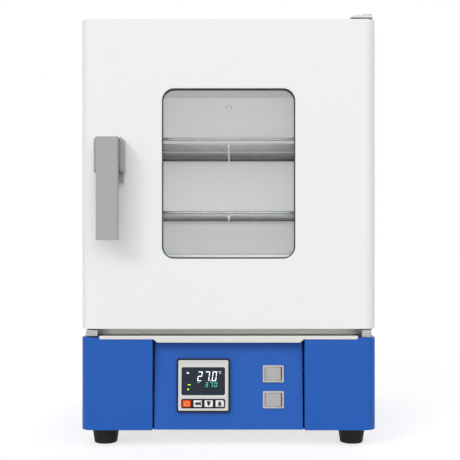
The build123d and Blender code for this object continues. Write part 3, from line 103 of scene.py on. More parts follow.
def buildStage():
    lens = bpy.data.cameras.new("camera")
    lens.lens = camera["lens"]
    lens.sensor_width = camera["sensor"]
    lens.shift_y = camera["shiftUp"]
    lens.dof.use_dof = False
    eye = bpy.data.objects.new("camera", lens)
    eye.location = camera["place"]
    eye.rotation_euler = (math.pi / 2, 0, 0)
    scene.collection.objects.link(eye)
    scene.camera = eye
    for name, sun in suns.items():
        light = bpy.data.lights.new(name, "SUN")
        light.energy = sun["strength"]
        light.angle = math.radians(sun["spread"])
        holder = bpy.data.objects.new(name, light)
        holder.rotation_euler = (-Vector(sun["from"])).to_track_quat("-Z", "Y").to_euler()
        scene.collection.objects.link(holder)
    for name, lamp in lamps.items():
        light = bpy.data.lights.new(name, "AREA")
        light.shape = "RECTANGLE"
        light.size, light.size_y = lamp["size"]
        light.energy = lamp["power"]
        holder = bpy.data.objects.new(name, light)
        holder.location = lamp["place"]
        direction = Vector(lamp["aim"]) - Vector(lamp["place"])
        holder.rotation_euler = direction.to_track_quat("-Z", "Y").to_euler()
        holder.visible_camera = False
        holder.visible_glossy = False
        scene.collection.objects.link(holder)
    world = bpy.data.worlds.new("studio")
    world.use_nodes = True
    tree = world.node_tree
    shown = seenDirectly(tree)
    level = addNode(tree, "ShaderNodeMapRange",
                    {"Value": shown, "To Min": surround["ambient"], "To Max": 1.0})
    tree.links.new(level.outputs[0], tree.nodes["Background"].inputs["Strength"])
    tree.nodes["Background"].inputs["Color"].default_value = (1, 1, 1, 1)
    scene.world = world
    form = bmesh.new()
    bmesh.ops.create_grid(form, x_segments=1, y_segments=1, size=surround["floorReach"])
    mesh = bpy.data.meshes.new("floor")
    form.to_mesh(mesh)
    form.free()
    floor = bpy.data.objects.new("floor", mesh)
    floor.location = (0, 0, -surround["floorDrop"])
    scene.collection.objects.link(floor)
    pale = bpy.data.materials.new("floorPale")
    pale.use_nodes = True
    tree = pale.node_tree
    tree.nodes.remove(tree.nodes["Principled BSDF"])
    matt = addNode(tree, "ShaderNodeBsdfDiffuse", {"Color": surround["floorColour"]})
    lift = addNode(tree, "ShaderNodeMath", {0: seenDirectly(tree), 1: surround["floorLift"]},
                   operation="MULTIPLY")
    glow = addNode(tree, "ShaderNodeEmission", {"Strength": lift.outputs[0]})
    both = addNode(tree, "ShaderNodeAddShader", {0: matt.outputs[0], 1: glow.outputs[0]})
    tree.links.new(both.outputs[0], tree.nodes["Material Output"].inputs["Surface"])
    mesh.materials.append(pale)


buildStage()
print("stage ready")


# materials
def startFinish(name, colour, roughness, metallic=0.0, specular=0.5):
    finish = bpy.data.materials.new(name)
    finish.use_nodes = True
    tree = finish.node_tree
    shader = tree.nodes["Principled BSDF"]
    shader.inputs["Base Color"].default_value = (*colour, 1)
    shader.inputs["Roughness"].default_value = roughness
    shader.inputs["Metallic"].default_value = metallic
    shader.inputs["Specular IOR Level"].default_value = specular
    return finish, tree, shader


def grain(tree, scale, detail=3.0, stretch=(1, 1, 1)):
    place = addNode(tree, "ShaderNodeTexCoord")
    spread = addNode(tree, "ShaderNodeMapping", {"Vector": place.outputs["Object"], "Scale": stretch})
    noise = addNode(tree, "ShaderNodeTexNoise",
                    {"Vector": spread.outputs[0], "Scale": scale, "Detail": detail})
    return noise.outputs["Fac"]


def mottle(tree, shader, colour, noise, change):
    low = tuple(c * (1 - change) for c in colour) + (1,)
    high = tuple(min(1.0, c * (1 + change)) for c in colour) + (1,)
    blend = addNode(tree, "ShaderNodeMix", {0: noise, 6: low, 7: high}, data_type="RGBA")
    tree.links.new(blend.outputs[2], shader.inputs["Base Color"])


def relief(tree, shader, noise, strength, depth):
    bump = addNode(tree, "ShaderNodeBump", {"Height": noise, "Strength": strength, "Distance": depth})
    tree.links.new(bump.outputs[0], shader.inputs["Normal"])


noiseReach = {"From Min": 0.3, "From Max": 0.7}  # what the noise mostly spans


def spreadRoughness(tree, shader, noise, low, high):
    level = addNode(tree, "ShaderNodeMapRange",
                    {"Value": noise, **noiseReach, "To Min": low, "To Max": high})
    tree.links.new(level.outputs[0], shader.inputs["Roughness"])


coat = {
    "mottleScale": 14,
    "glossScale": 60,
    "peelScale": 900,
    "peelStrength": 0.16,
    "peelHeight": 0.00025,
}


def powderCoat(name, colour, roughness, change, specular=0.3):
    finish, tree, shader = startFinish(name, colour, roughness, specular=specular)
    mottle(tree, shader, colour, grain(tree, coat["mottleScale"], 4), change)
    spreadRoughness(tree, shader, grain(tree, coat["glossScale"], 3), roughness - 0.04, roughness + 0.05)
    relief(tree, shader, grain(tree, coat["peelScale"], 2), coat["peelStrength"], coat["peelHeight"])
    return finish


def brushed(name, colour, roughness, stretch, change=0.10, metallic=1.0, height=0.05):
    finish, tree, shader = startFinish(name, colour, roughness, metallic=metallic)
    streaks = grain(tree, 1.0, 5, stretch)
    mottle(tree, shader, colour, streaks, change)
    spreadRoughness(tree, shader, streaks, roughness - 0.06, roughness + 0.08)
    relief(tree, shader, streaks, height, 0.0001)
    return finish


plastic = {"mottleScale": 40, "glossScale": 220, "grainHeight": 0.0002}


def moulded(name, colour, roughness, grainScale=1400, strength=0.18, change=0.05, specular=0.5):
    finish, tree, shader = startFinish(name, colour, roughness, specular=specular)
    mottle(tree, shader, colour, grain(tree, plastic["mottleScale"], 3), change)
    spreadRoughness(tree, shader, grain(tree, plastic["glossScale"], 3), roughness - 0.05, roughness + 0.06)
    relief(tree, shader, grain(tree, grainScale, 2), strength, plastic["grainHeight"])
    return finish


paneIndex = 1.16  # lower than real glass, so that four surfaces lay no veil over the chamber


def clearGlass(name, tint, roughness):
    finish, tree, shader = startFinish(name, tint, roughness)
    shader.inputs["Transmission Weight"].default_value = 1.0
    shader.inputs["IOR"].default_value = paneIndex
    smear = grain(tree, 9, 3)
    spreadRoughness(tree, shader, smear, 0.0, roughness)
    path = addNode(tree, "ShaderNodeLightPath")
    passing = addNode(tree, "ShaderNodeBsdfTransparent", {"Color": (*tint, 1)})
    indirect = addNode(tree, "ShaderNodeMath",
                       {0: path.outputs["Is Shadow Ray"], 1: path.outputs["Is Diffuse Ray"]},
                       operation="MAXIMUM")
    both = addNode(tree, "ShaderNodeMixShader",
                   {0: indirect.outputs[0], 1: shader.outputs[0], 2: passing.outputs[0]})
    tree.links.new(both.outputs[0], tree.nodes["Material Output"].inputs["Surface"])
    return finish


def litMark(name, colour, strength):
    finish, tree, shader = startFinish(name, colour, 0.4)
    mottle(tree, shader, colour, grain(tree, 900, 2), 0.04)
    shader.inputs["Emission Color"].default_value = (*colour, 1)
    shader.inputs["Emission Strength"].default_value = strength
    return finish


def woolBoard(name, colour):
    finish, tree, shader = startFinish(name, colour, 0.95, specular=0.1)
    fibres = grain(tree, 1.0, 6, (240, 40, 240))
    mottle(tree, shader, colour, fibres, 0.3)
    relief(tree, shader, fibres, 0.6, 0.0015)
    return finish


def paintedShadeTowardsRear(name, frontColour, rearColour, reach, roughness):
    # bright wire with painted shade that darkens it towards the rear
    finish, tree, shader = startFinish(name, frontColour, roughness, metallic=1.0)
    place = addNode(tree, "ShaderNodeTexCoord")
    along = addNode(tree, "ShaderNodeSeparateXYZ", {"Vector": place.outputs["Object"]})
    share = addNode(tree, "ShaderNodeMapRange",
                    {"Value": along.outputs["Y"], "From Min": reach[0], "From Max": reach[1]})
    blend = addNode(tree, "ShaderNodeMix",
                    {0: share.outputs[0], 6: (*frontColour, 1), 7: (*rearColour, 1)}, data_type="RGBA")
    tree.links.new(blend.outputs[2], shader.inputs["Base Color"])
    spreadRoughness(tree, shader, grain(tree, 40, 3), roughness - 0.04, roughness + 0.06)
    return finish


finishes = {
    "blue_paint": powderCoat("bluePaint", (0.014, 0.108, 0.470), 0.46, 0.02, 0.22),
    "white_paint": powderCoat("whitePaint", (0.875, 0.89, 0.88), 0.42, 0.006),
    "stainless": brushed("stainlessSheet", (0.53, 0.522, 0.505), 0.42, (6, 700, 700), 0.05, height=0.02),
    "liner_steel": brushed("linerSheet", (0.91, 0.917, 0.915), 0.6, (500, 6, 500), 0.02, 0.2, 0.02),
    "zinc_sheet": brushed("zincSheet", (0.56, 0.57, 0.585), 0.46, (60, 60, 60), 0.16),
    # shelf wires: painted shade, darker towards the rear
    "shelf_wire": paintedShadeTowardsRear("shelfWire", (0.42, 0.42, 0.425), (0.03, 0.03, 0.03), (-0.03, 0.14), 0.30),
    "heater_tube": brushed("heaterTube", (0.30, 0.29, 0.275), 0.42, (90, 90, 90), 0.2),
    "screw_steel": brushed("screwSteel", (0.56, 0.56, 0.555), 0.30, (300, 300, 300)),
    "hinge_chrome": brushed("hingeChrome", (0.36, 0.355, 0.345), 0.34, (8, 400, 400), 0.06, height=0.02),
    "handle_metal": powderCoat("handleEnamel", (0.400, 0.400, 0.400), 0.45, 0.02),
    "foot_rubber": moulded("footRubber", (0.011, 0.011, 0.0115), 0.68, 1100, 0.3, 0.12, 0.25),
    "gasket_rubber": moulded("gasketRubber", (0.035, 0.035, 0.036), 0.55, 1300, 0.2, 0.1),
    "silicone": moulded("sealSilicone", (0.62, 0.60, 0.56), 0.5, 700, 0.15, 0.03),
    "mineral_wool": woolBoard("mineralWool", (0.60, 0.52, 0.30)),
    "clear_glass": clearGlass("clearGlass", (0.988, 0.993, 0.991), 0.03),
    "black_plastic": moulded("blackPlastic", (0.013, 0.013, 0.014), 0.5, specular=0.2),
    "silver_plastic": moulded("silverPlastic", (0.66, 0.655, 0.64), 0.40, 1600, 0.12, 0.02),
    "display_glass": moulded("displayGlass", (0.018, 0.027, 0.043), 0.22, 60, 0.02, 0.06, 0.10),
    "dark_strip": moulded("darkStrip", (0.010, 0.014, 0.022), 0.36, 900, 0.05, 0.05, 0.12),
    "orange_key": moulded("orangeKey", (0.95, 0.095, 0.004), 0.45, 1500, 0.1, 0.03, 0.12),
    "white_key": moulded("whiteKey", (0.86, 0.86, 0.85), 0.45, 1500, 0.1, 0.02, 0.3),
    "switch_plastic": moulded("switchPlastic", (0.405, 0.405, 0.40), 0.45, 1500, 0.14, 0.02),
    "vent_polymer": moulded("ventPolymer", (0.95, 0.95, 0.945), 0.16, 900, 0.02, 0.01, 0.8),
    "bush_polymer": moulded("bushPolymer", (0.16, 0.16, 0.158), 0.5, 900, 0.1, 0.02),
    "brass_pins": brushed("platedPins", (0.62, 0.57, 0.46), 0.28, (300, 30, 300)),
}
markFinishes = {
    "whiteMark": litMark("whiteMark", (0.85, 0.90, 0.92), 0.55),
    "tealMark": litMark("tealMark", (0.035, 0.46, 0.32), 0.55),
    "limeMark": litMark("limeMark", (0.50, 0.78, 0.04), 0.6),
    "paleOrangeMark": moulded("paleOrangeMark", (0.99, 0.56, 0.34), 0.5, 1500, 0.05),
    "darkMark": moulded("darkMark", (0.012, 0.012, 0.014), 0.5, 1500, 0.05, 0.05, 0.2),
    "switchRim": moulded("switchRim", (0.52, 0.50, 0.46), 0.42, 1600, 0.12, 0.02),
    # near-white steel on the support bar is a painted highlight, so it shows as a bright line
    "supportBarPaintedHighlight": brushed("supportBarPaintedHighlight", (0.93, 0.93, 0.93), 0.32, (12, 12, 12), 0.02, height=0),
    "shelfRod": brushed("shelfRod", (0.34, 0.34, 0.345), 0.28, (12, 12, 12), 0.06, height=0),
}
for node, cadObject in frame["nodes"].items():
    cadObject.data.materials.clear()
    cadObject.data.materials.append(finishes[nodeSlots[node]])
print("finishes ready:", len(finishes) + len(markFinishes))


# helpers for new pieces
def addPiece(form, name, body, finish, replaced=(), smoothAngle=35, recalculate=True):
    if recalculate:
        bmesh.ops.recalc_face_normals(form, faces=form.faces)
    for face in form.faces:
        face.smooth = True
    mesh = bpy.data.meshes.new(name)
    form.to_mesh(mesh)
    form.free()
    mesh.set_sharp_from_angle(angle=math.radians(smoothAngle))
    piece = bpy.data.objects.new(name, mesh)
    scene.collection.objects.link(piece)
    mesh.materials.append(finish)
    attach(piece, body)
    if replaced:
        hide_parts(*replaced)
    evenShade(piece)
    return piece


def evenShade(piece):
    # normals weighted by face area, so that a wide face beside a rounded edge keeps one shade
    weighted = piece.modifiers.new("evenShade", "WEIGHTED_NORMAL")
    weighted.mode = "FACE_AREA"
    weighted.weight = 90
    weighted.keep_sharp = True


def bevelEdges(form, edges, width, segments=2):
    bmesh.ops.bevel(form, geom=list(edges), offset=width, offset_type="OFFSET", affect="EDGES",
                    segments=segments, profile=0.5, material=-1, clamp_overlap=True)


merging = {"doubles": 2e-6, "flatWithin": 0.6}  # metres, degrees


def mergedCopy(node):
    form = bmesh.new()
    form.from_mesh(frame["nodes"][node].data)
    bmesh.ops.remove_doubles(form, verts=form.verts, dist=merging["doubles"])
    bmesh.ops.dissolve_limit(form, angle_limit=math.radians(merging["flatWithin"]),
                             verts=form.verts, edges=form.edges)
    return form


def sharpEdges(form, angle):
    return [edge for edge in form.edges if edge.is_manifold and edge.calc_face_angle(0) > math.radians(angle)]


bodyOfNode = {node: body for body, nodes in frame["record"]["behaviour"]["bodies"].items() for node in nodes}


# pieces that keep their CAD shape and gain rounded edges: bevel width and rounding steps
easedNodes = {
    "door_skin": (0.0005, 2),
    "base_shell": (0.0005, 2),
    "cabinet_shell": (0.0005, 2),
    "control_panel": (0.0004, 2),
    "threshold_plate": (0.0003, 2),
    "handle_lever": (0.0010, 3),
    "handle_housing": (0.0010, 3),
    "window_gasket": (0.0004, 2),
    "controller_case": (0.0006, 2),
    "controller_bezel": (0.0009, 3),
    "key_strip": (0.0003, 2),
    "key_power": (0.0006, 3),
    "key_shift": (0.0006, 3),
    "key_down": (0.0006, 3),
    "key_up": (0.0006, 3),
    "switch_bezel_lower": (0.0007, 3),
    "switch_bezel_upper": (0.0007, 3),
    "rocker_lower": (0.0005, 3),
    "rocker_upper": (0.0005, 3),
    "hinge_plate_top": (0.0006, 2),
    "hinge_block_bottom": (0.0006, 2),
    "front_frame": (0.0003, 2),
    "door_inner": (0.0003, 2),
    "cabinet_back_panel": (0.0003, 2),
    "base_back_panel": (0.0003, 2),
    "mains_inlet": (0.0005, 2),
    "inlet_pins": (0.0004, 2),
    "vent_damper": (0.0003, 2),
    "vent_flange": (0.0004, 2),
    "strike_plate": (0.0003, 2),
    "latch_bar": (0.0003, 2),
    "heater_brackets": (0.0002, 2),
    "sensor_probe": (0.0003, 2),
    "shelf_rails": (0.0002, 2),
    "door_seal": (0.0006, 3),
    "damper_screw": (0.0004, 3),
}


# the panel's own plane: X across, Y up the slope, Z out to the front
panel = {
    "middle": (0, -0.179, 0.0869),
    "lean": math.atan2(12.0, 123.2),
    "controllerX": -0.0343,
    "controllerUp": -0.00211,
}
slope, level = math.sin(panel["lean"]), math.cos(panel["lean"])
panelTurn = Matrix(((1, 0, 0, 0), (0, slope, -level, 0), (0, level, slope, 0), (0, 0, 0, 1)))
onPanel = Matrix.Translation(panel["middle"]) @ panelTurn
onController = onPanel @ Matrix.Translation((panel["controllerX"], panel["controllerUp"], 0))

# outer edges drawn in: plane, how far out an edge lies across and up, and by how much it moves
trims = {
    "control_panel": {"plane": onPanel, "beyond": (0.090, 1.0), "inset": 0.0020},
    "controller_bezel": {"plane": onController, "beyond": (0.0320, 0.0320), "inset": 0.0007},
}


def trimNode(form, plane, beyond, inset):
    back = plane.inverted()
    for vert in form.verts:
        spot = back @ vert.co
        if abs(spot.x) > beyond[0]:
            spot.x -= math.copysign(inset, spot.x)
        if abs(spot.y) > beyond[1]:
            spot.y -= math.copysign(inset, spot.y)
        vert.co = plane @ spot


easing = {"roundFrom": 32, "smoothAngle": 48}  # degrees


def easeNode(node, width, segments):
    form = mergedCopy(node)
    if node in trims:
        trimNode(form, **trims[node])
    bevelEdges(form, sharpEdges(form, easing["roundFrom"]), width, segments)
    slotName = nodeSlots[node]
    addPiece(form, node + ".eased", bodyOfNode[node], easedFinish.get(node, finishes[slotName]),
             (node,), smoothAngle=easing["smoothAngle"], recalculate=False)


easedFinish = {
    "switch_bezel_lower": markFinishes["switchRim"],
    "switch_bezel_upper": markFinishes["switchRim"],
}
for node, (width, segments) in easedNodes.items():
    easeNode(node, width, segments)
print("eased nodes:", len(easedNodes))


def addRing(form, matrix, sides, radius):
    made = bmesh.ops.create_circle(form, cap_ends=False, segments=sides, radius=radius, matrix=matrix)
    return list({edge for vert in made["verts"] for edge in vert.link_edges})


# round bars that bend in the level plane
# a move is a number, for a straight run, or a pair, for a turn and its bend radius
def bentRod(form, place, heading, radius, moves, sides=14, turnSteps=8):
    place = Vector(place)
    heading = Vector(heading)
    stand = Matrix.Translation(place) @ heading.to_track_quat("Z", "Y").to_matrix().to_4x4()
    edges = addRing(form, stand, sides, radius)
    for move in moves:
        if isinstance(move, tuple):
            turn, bend = math.radians(move[0]), move[1]
            side = Vector((-heading.y, heading.x, 0)) * (1 if turn > 0 else -1)
            centre = place + side * bend
            swept = bmesh.ops.spin(form, geom=edges, cent=centre, axis=(0, 0, 1), angle=turn,
                                   steps=turnSteps, dvec=(0, 0, 0))
            edges = [item for item in swept["geom_last"] if isinstance(item, bmesh.types.BMEdge)]
            turned = Matrix.Rotation(turn, 3, "Z")
            place = centre + turned @ (place - centre)
            heading = turned @ heading
        else:
            swept = bmesh.ops.extrude_edge_only(form, edges=edges)["geom"]
            verts = [item for item in swept if isinstance(item, bmesh.types.BMVert)]
            bmesh.ops.translate(form, verts=verts, vec=heading * move)
            edges = [item for item in swept
                     if isinstance(item, bmesh.types.BMEdge) and all(v in verts for v in item.verts)]
            place = place + heading * move


def closeEnds(form):
    bmesh.ops.remove_doubles(form, verts=form.verts, dist=1e-6)
    bmesh.ops.holes_fill(form, edges=[edge for edge in form.edges if edge.is_boundary], sides=0)


def straightBar(form, start, end, radius, sides=12):
    start, end = Vector(start), Vector(end)
    stand = Matrix.Translation((start + end) / 2) @ (end - start).to_track_quat("Z", "Y").to_matrix().to_4x4()
    bmesh.ops.create_cone(form, cap_ends=True, segments=sides, radius1=radius, radius2=radius,
                          depth=(end - start).length, matrix=stand)


# wire shelves: a closed round rod, cross wires under it and one stiffener
shelf = {
    "levels": {"shelf_lower": 0.3216, "shelf_upper": 0.4256},
    "halfWidth": 0.145,
    "front": -0.130,
    "depth": 0.284,
    "rodRadius": 0.00225,
    "wireRadius": 0.00125,
    "weld": 0.0016,
    "supportWeld": 0.0003,
    "firstWire": 0.046,
    "pitch": 0.0098,
    "rows": [row for row in range(25) if row not in (10, 11, 20, 21)],  # four places stay open
    "bendRatio": 4,  # a corner's bend in rod radii
}


def buildShelf(node, height):
    rod, wire = shelf["rodRadius"], shelf["wireRadius"]
    bend = shelf["bendRatio"] * rod
    across = shelf["halfWidth"] - bend
    along = shelf["depth"] - 2 * rod - 2 * bend
    corner = (90, bend)
    form = bmesh.new()
    bentRod(form, (0, shelf["front"] + rod, height), (1, 0, 0), rod,
            (across, corner, along, corner, 2 * across, corner, along, corner, across))
    closeEnds(form)
    addPiece(form, node + ".rod", bodyOfNode[node], markFinishes["shelfRod"], (node,))
    wireHeight = height - rod - wire + shelf["weld"]
    form = bmesh.new()
    for row in shelf["rows"]:
        y = shelf["front"] + shelf["firstWire"] + row * shelf["pitch"]
        straightBar(form, (-shelf["halfWidth"], y, wireHeight), (shelf["halfWidth"], y, wireHeight), wire)
    addPiece(form, node + ".wires", bodyOfNode[node], finishes["shelf_wire"])
    low = wireHeight - 2 * wire + shelf["supportWeld"]
    start = shelf["front"] + shelf["firstWire"]
    form = bmesh.new()
    straightBar(form, (0, start, low), (0, shelf["front"] + shelf["depth"], low), wire)
    # the support bar's near-white finish is a painted highlight
    addPiece(form, node + ".support", bodyOfNode[node], markFinishes["supportBarPaintedHighlight"])


for node, height in shelf["levels"].items():
    buildShelf(node, height)

# heater: one tube bent in an M
heater = {
    "radius": 0.004,
    "height": 0.228,
    "start": (-0.110, 0.169),
    "bend": 0.025,
    "outerRun": 0.247,
    "outerGap": 0.023,
    "innerRun": 0.165,
    "middleGap": 0.024,
    "sides": 18,
    "bendSteps": 10,
}
form = bmesh.new()
left, right = (90, heater["bend"]), (-90, heater["bend"])
outer, inner, gap = heater["outerRun"], heater["innerRun"], heater["outerGap"]
bentRod(form, (*heater["start"], heater["height"]), (0, -1, 0), heater["radius"],
        (outer, left, gap, left, inner, right, heater["middleGap"], right, inner, left, gap, left, outer),
        heater["sides"], heater["bendSteps"])
closeEnds(form)
addPiece(form, "heater_element.tube", "cabinet", finishes["heater_tube"], ("heater_element",))
print("shelves and heater ready")


# turned pieces: a profile of (radius, height) points spun round a line
def turned(form, profile, matrix, steps=48):
    verts = [form.verts.new((x, 0, z)) for x, z in profile]
    edges = [form.edges.new((verts[i], verts[(i + 1) % len(verts)])) for i in range(len(verts))]
    before = set(form.verts) - set(verts)
    bmesh.ops.spin(form, geom=verts + edges, cent=(0, 0, 0), axis=(0, 0, 1), angle=2 * math.pi,
                   steps=steps, dvec=(0, 0, 0), use_merge=True)
    fresh = [vert for vert in form.verts if vert not in before]
    bmesh.ops.transform(form, matrix=matrix, verts=fresh)


foot = {
    "places": {
        "front_left": (-0.172, -0.143),
        "front_right": (0.172, -0.143),
        "back_left": (-0.172, 0.167),
        "back_right": (0.172, 0.167),
    },
    "profile": (
        (0.0060, 0.0), (0.0146, 0.0), (0.0158, 0.0012), (0.0190, 0.0236),
        (0.0190, 0.025), (0.00255, 0.025), (0.00255, 0.012), (0.0060, 0.012),
    ),
    "rounding": 0.0009,
    "roundBelow": 0.01,
    "roundFrom": 40,
}
for corner, place in foot["places"].items():
    form = bmesh.new()
    turned(form, foot["profile"], Matrix.Translation((*place, 0)))
    bmesh.ops.recalc_face_normals(form, faces=form.faces)
    lowEdges = [edge for edge in sharpEdges(form, foot["roundFrom"])
                if max(v.co.z for v in edge.verts) < foot["roundBelow"]]
    bevelEdges(form, lowEdges, foot["rounding"], segments=3)
    addPiece(form, "foot_" + corner + ".rubber", "cabinet", finishes["foot_rubber"],
             ("foot_" + corner,))


buttonShape = {
    "dome": ((1.0, 0.0), (1.0, 0.3), (0.93, 0.62), (0.78, 0.88), (0.56, 1.0)),  # shares of radius, height
    "socketSides": 6,
    "socket": 0.46,
    "socketHeights": (1.0, 0.35),
}


# button-head screws with a six-sided socket
def buttonHead(form, matrix, radius, height, sides=24):
    circles = [(sides, share, rise) for share, rise in buttonShape["dome"]]
    circles += [(buttonShape["socketSides"], buttonShape["socket"], rise)
                for rise in buttonShape["socketHeights"]]
    rings = [addRing(form, matrix @ Matrix.Translation((0, 0, height * rise)), count, radius * share)
             for count, share, rise in circles]
    for lower, upper in zip(rings, rings[1:]):
        bmesh.ops.bridge_loops(form, edges=lower + upper)
    bmesh.ops.contextual_create(form, geom=rings[0])
    bmesh.ops.contextual_create(form, geom=rings[-1])


backward = Matrix.Rotation(-math.pi / 2, 4, "X")
downward = Matrix.Rotation(math.pi, 4, "X")
screws = {
    "backFace": 0.212,
    "rearX": 0.188,
    "rearHeights": (0.037, 0.138, 0.162, 0.372, 0.572),
    "headRadius": 0.0042,
    "headHeight": 0.0024,
    "inletX": (0.100, 0.140),
    "inletHeight": 0.067,
    "inletHeadRadius": 0.0035,
    "inletShank": 0.00175,
    "inletFlange": 0.0025,
    "footShank": 0.0025,
    "footSeat": 0.012,
    "footNutBottom": 0.0262,
    "footShankTop": 0.0292,
    "shankPastNut": 0.0002,
}
form = bmesh.new()
for x in (-screws["rearX"], screws["rearX"]):
    for height in screws["rearHeights"]:
        buttonHead(form, Matrix.Translation((x, screws["backFace"], height)) @ backward,
                   screws["headRadius"], screws["headHeight"])
flange = screws["backFace"] + screws["inletFlange"]
for x in screws["inletX"]:
    straightBar(form, (x, screws["backFace"] - screws["inletFlange"], screws["inletHeight"]),
                (x, flange, screws["inletHeight"]), screws["inletShank"])
    buttonHead(form, Matrix.Translation((x, flange, screws["inletHeight"])) @ backward,
               screws["inletHeadRadius"], screws["headHeight"])
nutTop = screws["footShankTop"] - screws["shankPastNut"]
for x, y in foot["places"].values():
    buttonHead(form, Matrix.Translation((x, y, screws["footSeat"])) @ downward,
               screws["headRadius"], screws["headHeight"])
    straightBar(form, (x, y, screws["footSeat"]), (x, y, screws["footShankTop"]), screws["footShank"])
    straightBar(form, (x, y, screws["footNutBottom"]), (x, y, nutTop), screws["headRadius"], sides=6)
addPiece(form, "cabinet_screws.heads", "cabinet", finishes["screw_steel"], ("cabinet_screws",))
print("feet and screws ready")


# marks on the controller
def raiseMark(form, before, matrix, thickness):
    # gives the newest flat face its thickness and sets it in place
    face = [face for face in form.faces if not before.intersection(face.verts)]
    raised = bmesh.ops.extrude_face_region(form, geom=face, use_keep_orig=True)["geom"]
    top = [item for item in raised if isinstance(item, bmesh.types.BMVert)]
    bmesh.ops.translate(form, verts=top, vec=(0, 0, thickness))
    bmesh.ops.transform(form, matrix=matrix, verts=[vert for vert in form.verts if vert not in before])


def flatMark(form, width, height, corner, matrix, thickness, cornerSteps=1):
    # a small raised plate with cut or rounded corners
    before = set(form.verts)
    bmesh.ops.create_grid(form, x_segments=1, y_segments=1, size=0.5,
                          matrix=Matrix.Diagonal((width, height, 1, 1)))
    verts = [vert for vert in form.verts if vert not in before]
    if corner:
        bmesh.ops.bevel(form, geom=verts, offset=corner, offset_type="OFFSET", affect="VERTICES",
                        segments=cornerSteps, profile=0.5, material=-1, clamp_overlap=True)
    raiseMark(form, before, matrix, thickness)


digitParts = {"0": "abcdef", "2": "abged", "3": "abgcd", "7": "abc"}
digitSlant = math.tan(math.radians(7))
# in strokes: what is cut off a bar's corners, and what a level or upright bar is short by
barCorner, barShort = 0.42, {0: 0.5, 90: 0.35}


def addDigit(form, digit, x, up, width, height, stroke, lift, thickness):
    # a seven-part numeral leaning to the right, with its lower left corner at x, up
    half = height / 2
    bars = {
        "a": (width / 2, height - stroke / 2, 0), "g": (width / 2, half, 0), "d": (width / 2, stroke / 2, 0),
        "f": (stroke / 2, half * 1.5, 90), "b": (width - stroke / 2, half * 1.5, 90),
        "e": (stroke / 2, half * 0.5, 90), "c": (width - stroke / 2, half * 0.5, 90),
    }
    lean = Matrix(((1, digitSlant, 0, 0), (0, 1, 0, 0), (0, 0, 1, 0), (0, 0, 0, 1)))
    for part in digitParts[digit]:
        barX, barUp, turn = bars[part]
        length = (half if turn else width) - stroke * barShort[turn]
        place = (onController @ Matrix.Translation((x, up, lift)) @ lean
                 @ Matrix.Translation((barX, barUp, 0)) @ Matrix.Rotation(math.radians(turn), 4, "Z"))
        flatMark(form, length, stroke, stroke * barCorner, place, thickness)


display = {
    "centreUp": 0.0056,
    "lift": 0.0061,
    "thickness": 0.00006,
    "pointCorner": 0.3,
    "spotCorner": 0.48,
}
# a digit is its numeral, left edge and width; a spot or bar is its x, up, width and height
displayPieces = {
    "display_reading": {
        "finish": "whiteMark",
        "digits": (("2", -0.0083, 0.0060), ("7", 0.0016, 0.0062), ("0", 0.0113, 0.0060)),
        "up": 0.0001,
        "height": 0.0130,
        "stroke": 0.00118,
        "point": 0.0098,
        "spots": ((-0.0210, 0.0110, 0.0030, 0.0019), (0.0212, 0.0127, 0.0010, 0.0010)),
        "bars": (
            (0.0232, 0.0130, 0.0020, 0.0004),
            (0.0224, 0.0116, 0.0004, 0.0028),
            (0.0232, 0.0102, 0.0020, 0.0004),
        ),
    },
    "display_target": {
        "finish": "tealMark",
        "digits": (("3", 0.0022, 0.0036), ("7", 0.0085, 0.0037), ("0", 0.0144, 0.0040)),
        "up": -0.0077,
        "height": 0.0062,
        "stroke": 0.00078,
        "point": 0.0133,
        "spots": ((-0.0066, -0.0018, 0.0030, 0.0009),),
        "bars": (),
    },
    "display_lights": {
        "finish": "limeMark",
        "digits": (),
        "spots": ((-0.0191, -0.0047, 0.0042, 0.0012), (-0.0205, -0.0109, 0.0025, 0.0023)),
        "bars": (),
    },
}


def onDisplay(x, up):
    return onController @ Matrix.Translation((x, up, display["lift"]))


def addReading(form, reading):
    up = display["centreUp"] + reading["up"]
    stroke = reading["stroke"]
    for digit, x, width in reading["digits"]:
        addDigit(form, digit, x, up, width, reading["height"], stroke, display["lift"], display["thickness"])
    place = onDisplay(reading["point"], up + stroke / 2)
    flatMark(form, stroke, stroke, stroke * display["pointCorner"], place, display["thickness"],
             cornerSteps=3)


for name, marks in displayPieces.items():
    form = bmesh.new()
    if marks["digits"]:
        addReading(form, marks)
    for x, up, width, height in marks["spots"]:
        flatMark(form, width, height, min(width, height) * display["spotCorner"],
                 onDisplay(x, display["centreUp"] + up), display["thickness"], cornerSteps=5)
    for x, up, width, height in marks["bars"]:
        flatMark(form, width, height, 0, onDisplay(x, display["centreUp"] + up), display["thickness"])
    addPiece(form, name, "cabinet", markFinishes[marks["finish"]], smoothAngle=20)

# key symbols: a broken ring with a bar on the power key, arrows on the others
keys = {"pitch": 0.0149, "up": -0.0244, "lift": 0.0066, "thickness": 0.00006, "triangle": 0.0031}
keyOrder = ("key_power", "key_shift", "key_down", "key_up")  # from the left, about the row's middle
keyPlaces = {name: (place - 1.5) * keys["pitch"] for place, name in enumerate(keyOrder)}


def onKey(name, x=0.0, up=0.0):
    return onController @ Matrix.Translation((keyPlaces[name] + x, keys["up"] + up, keys["lift"]))


def addTriangle(form, matrix, size):
    before = set(form.verts)
    bmesh.ops.create_circle(form, cap_ends=True, segments=3, radius=size)
    raiseMark(form, before, matrix, keys["thickness"])


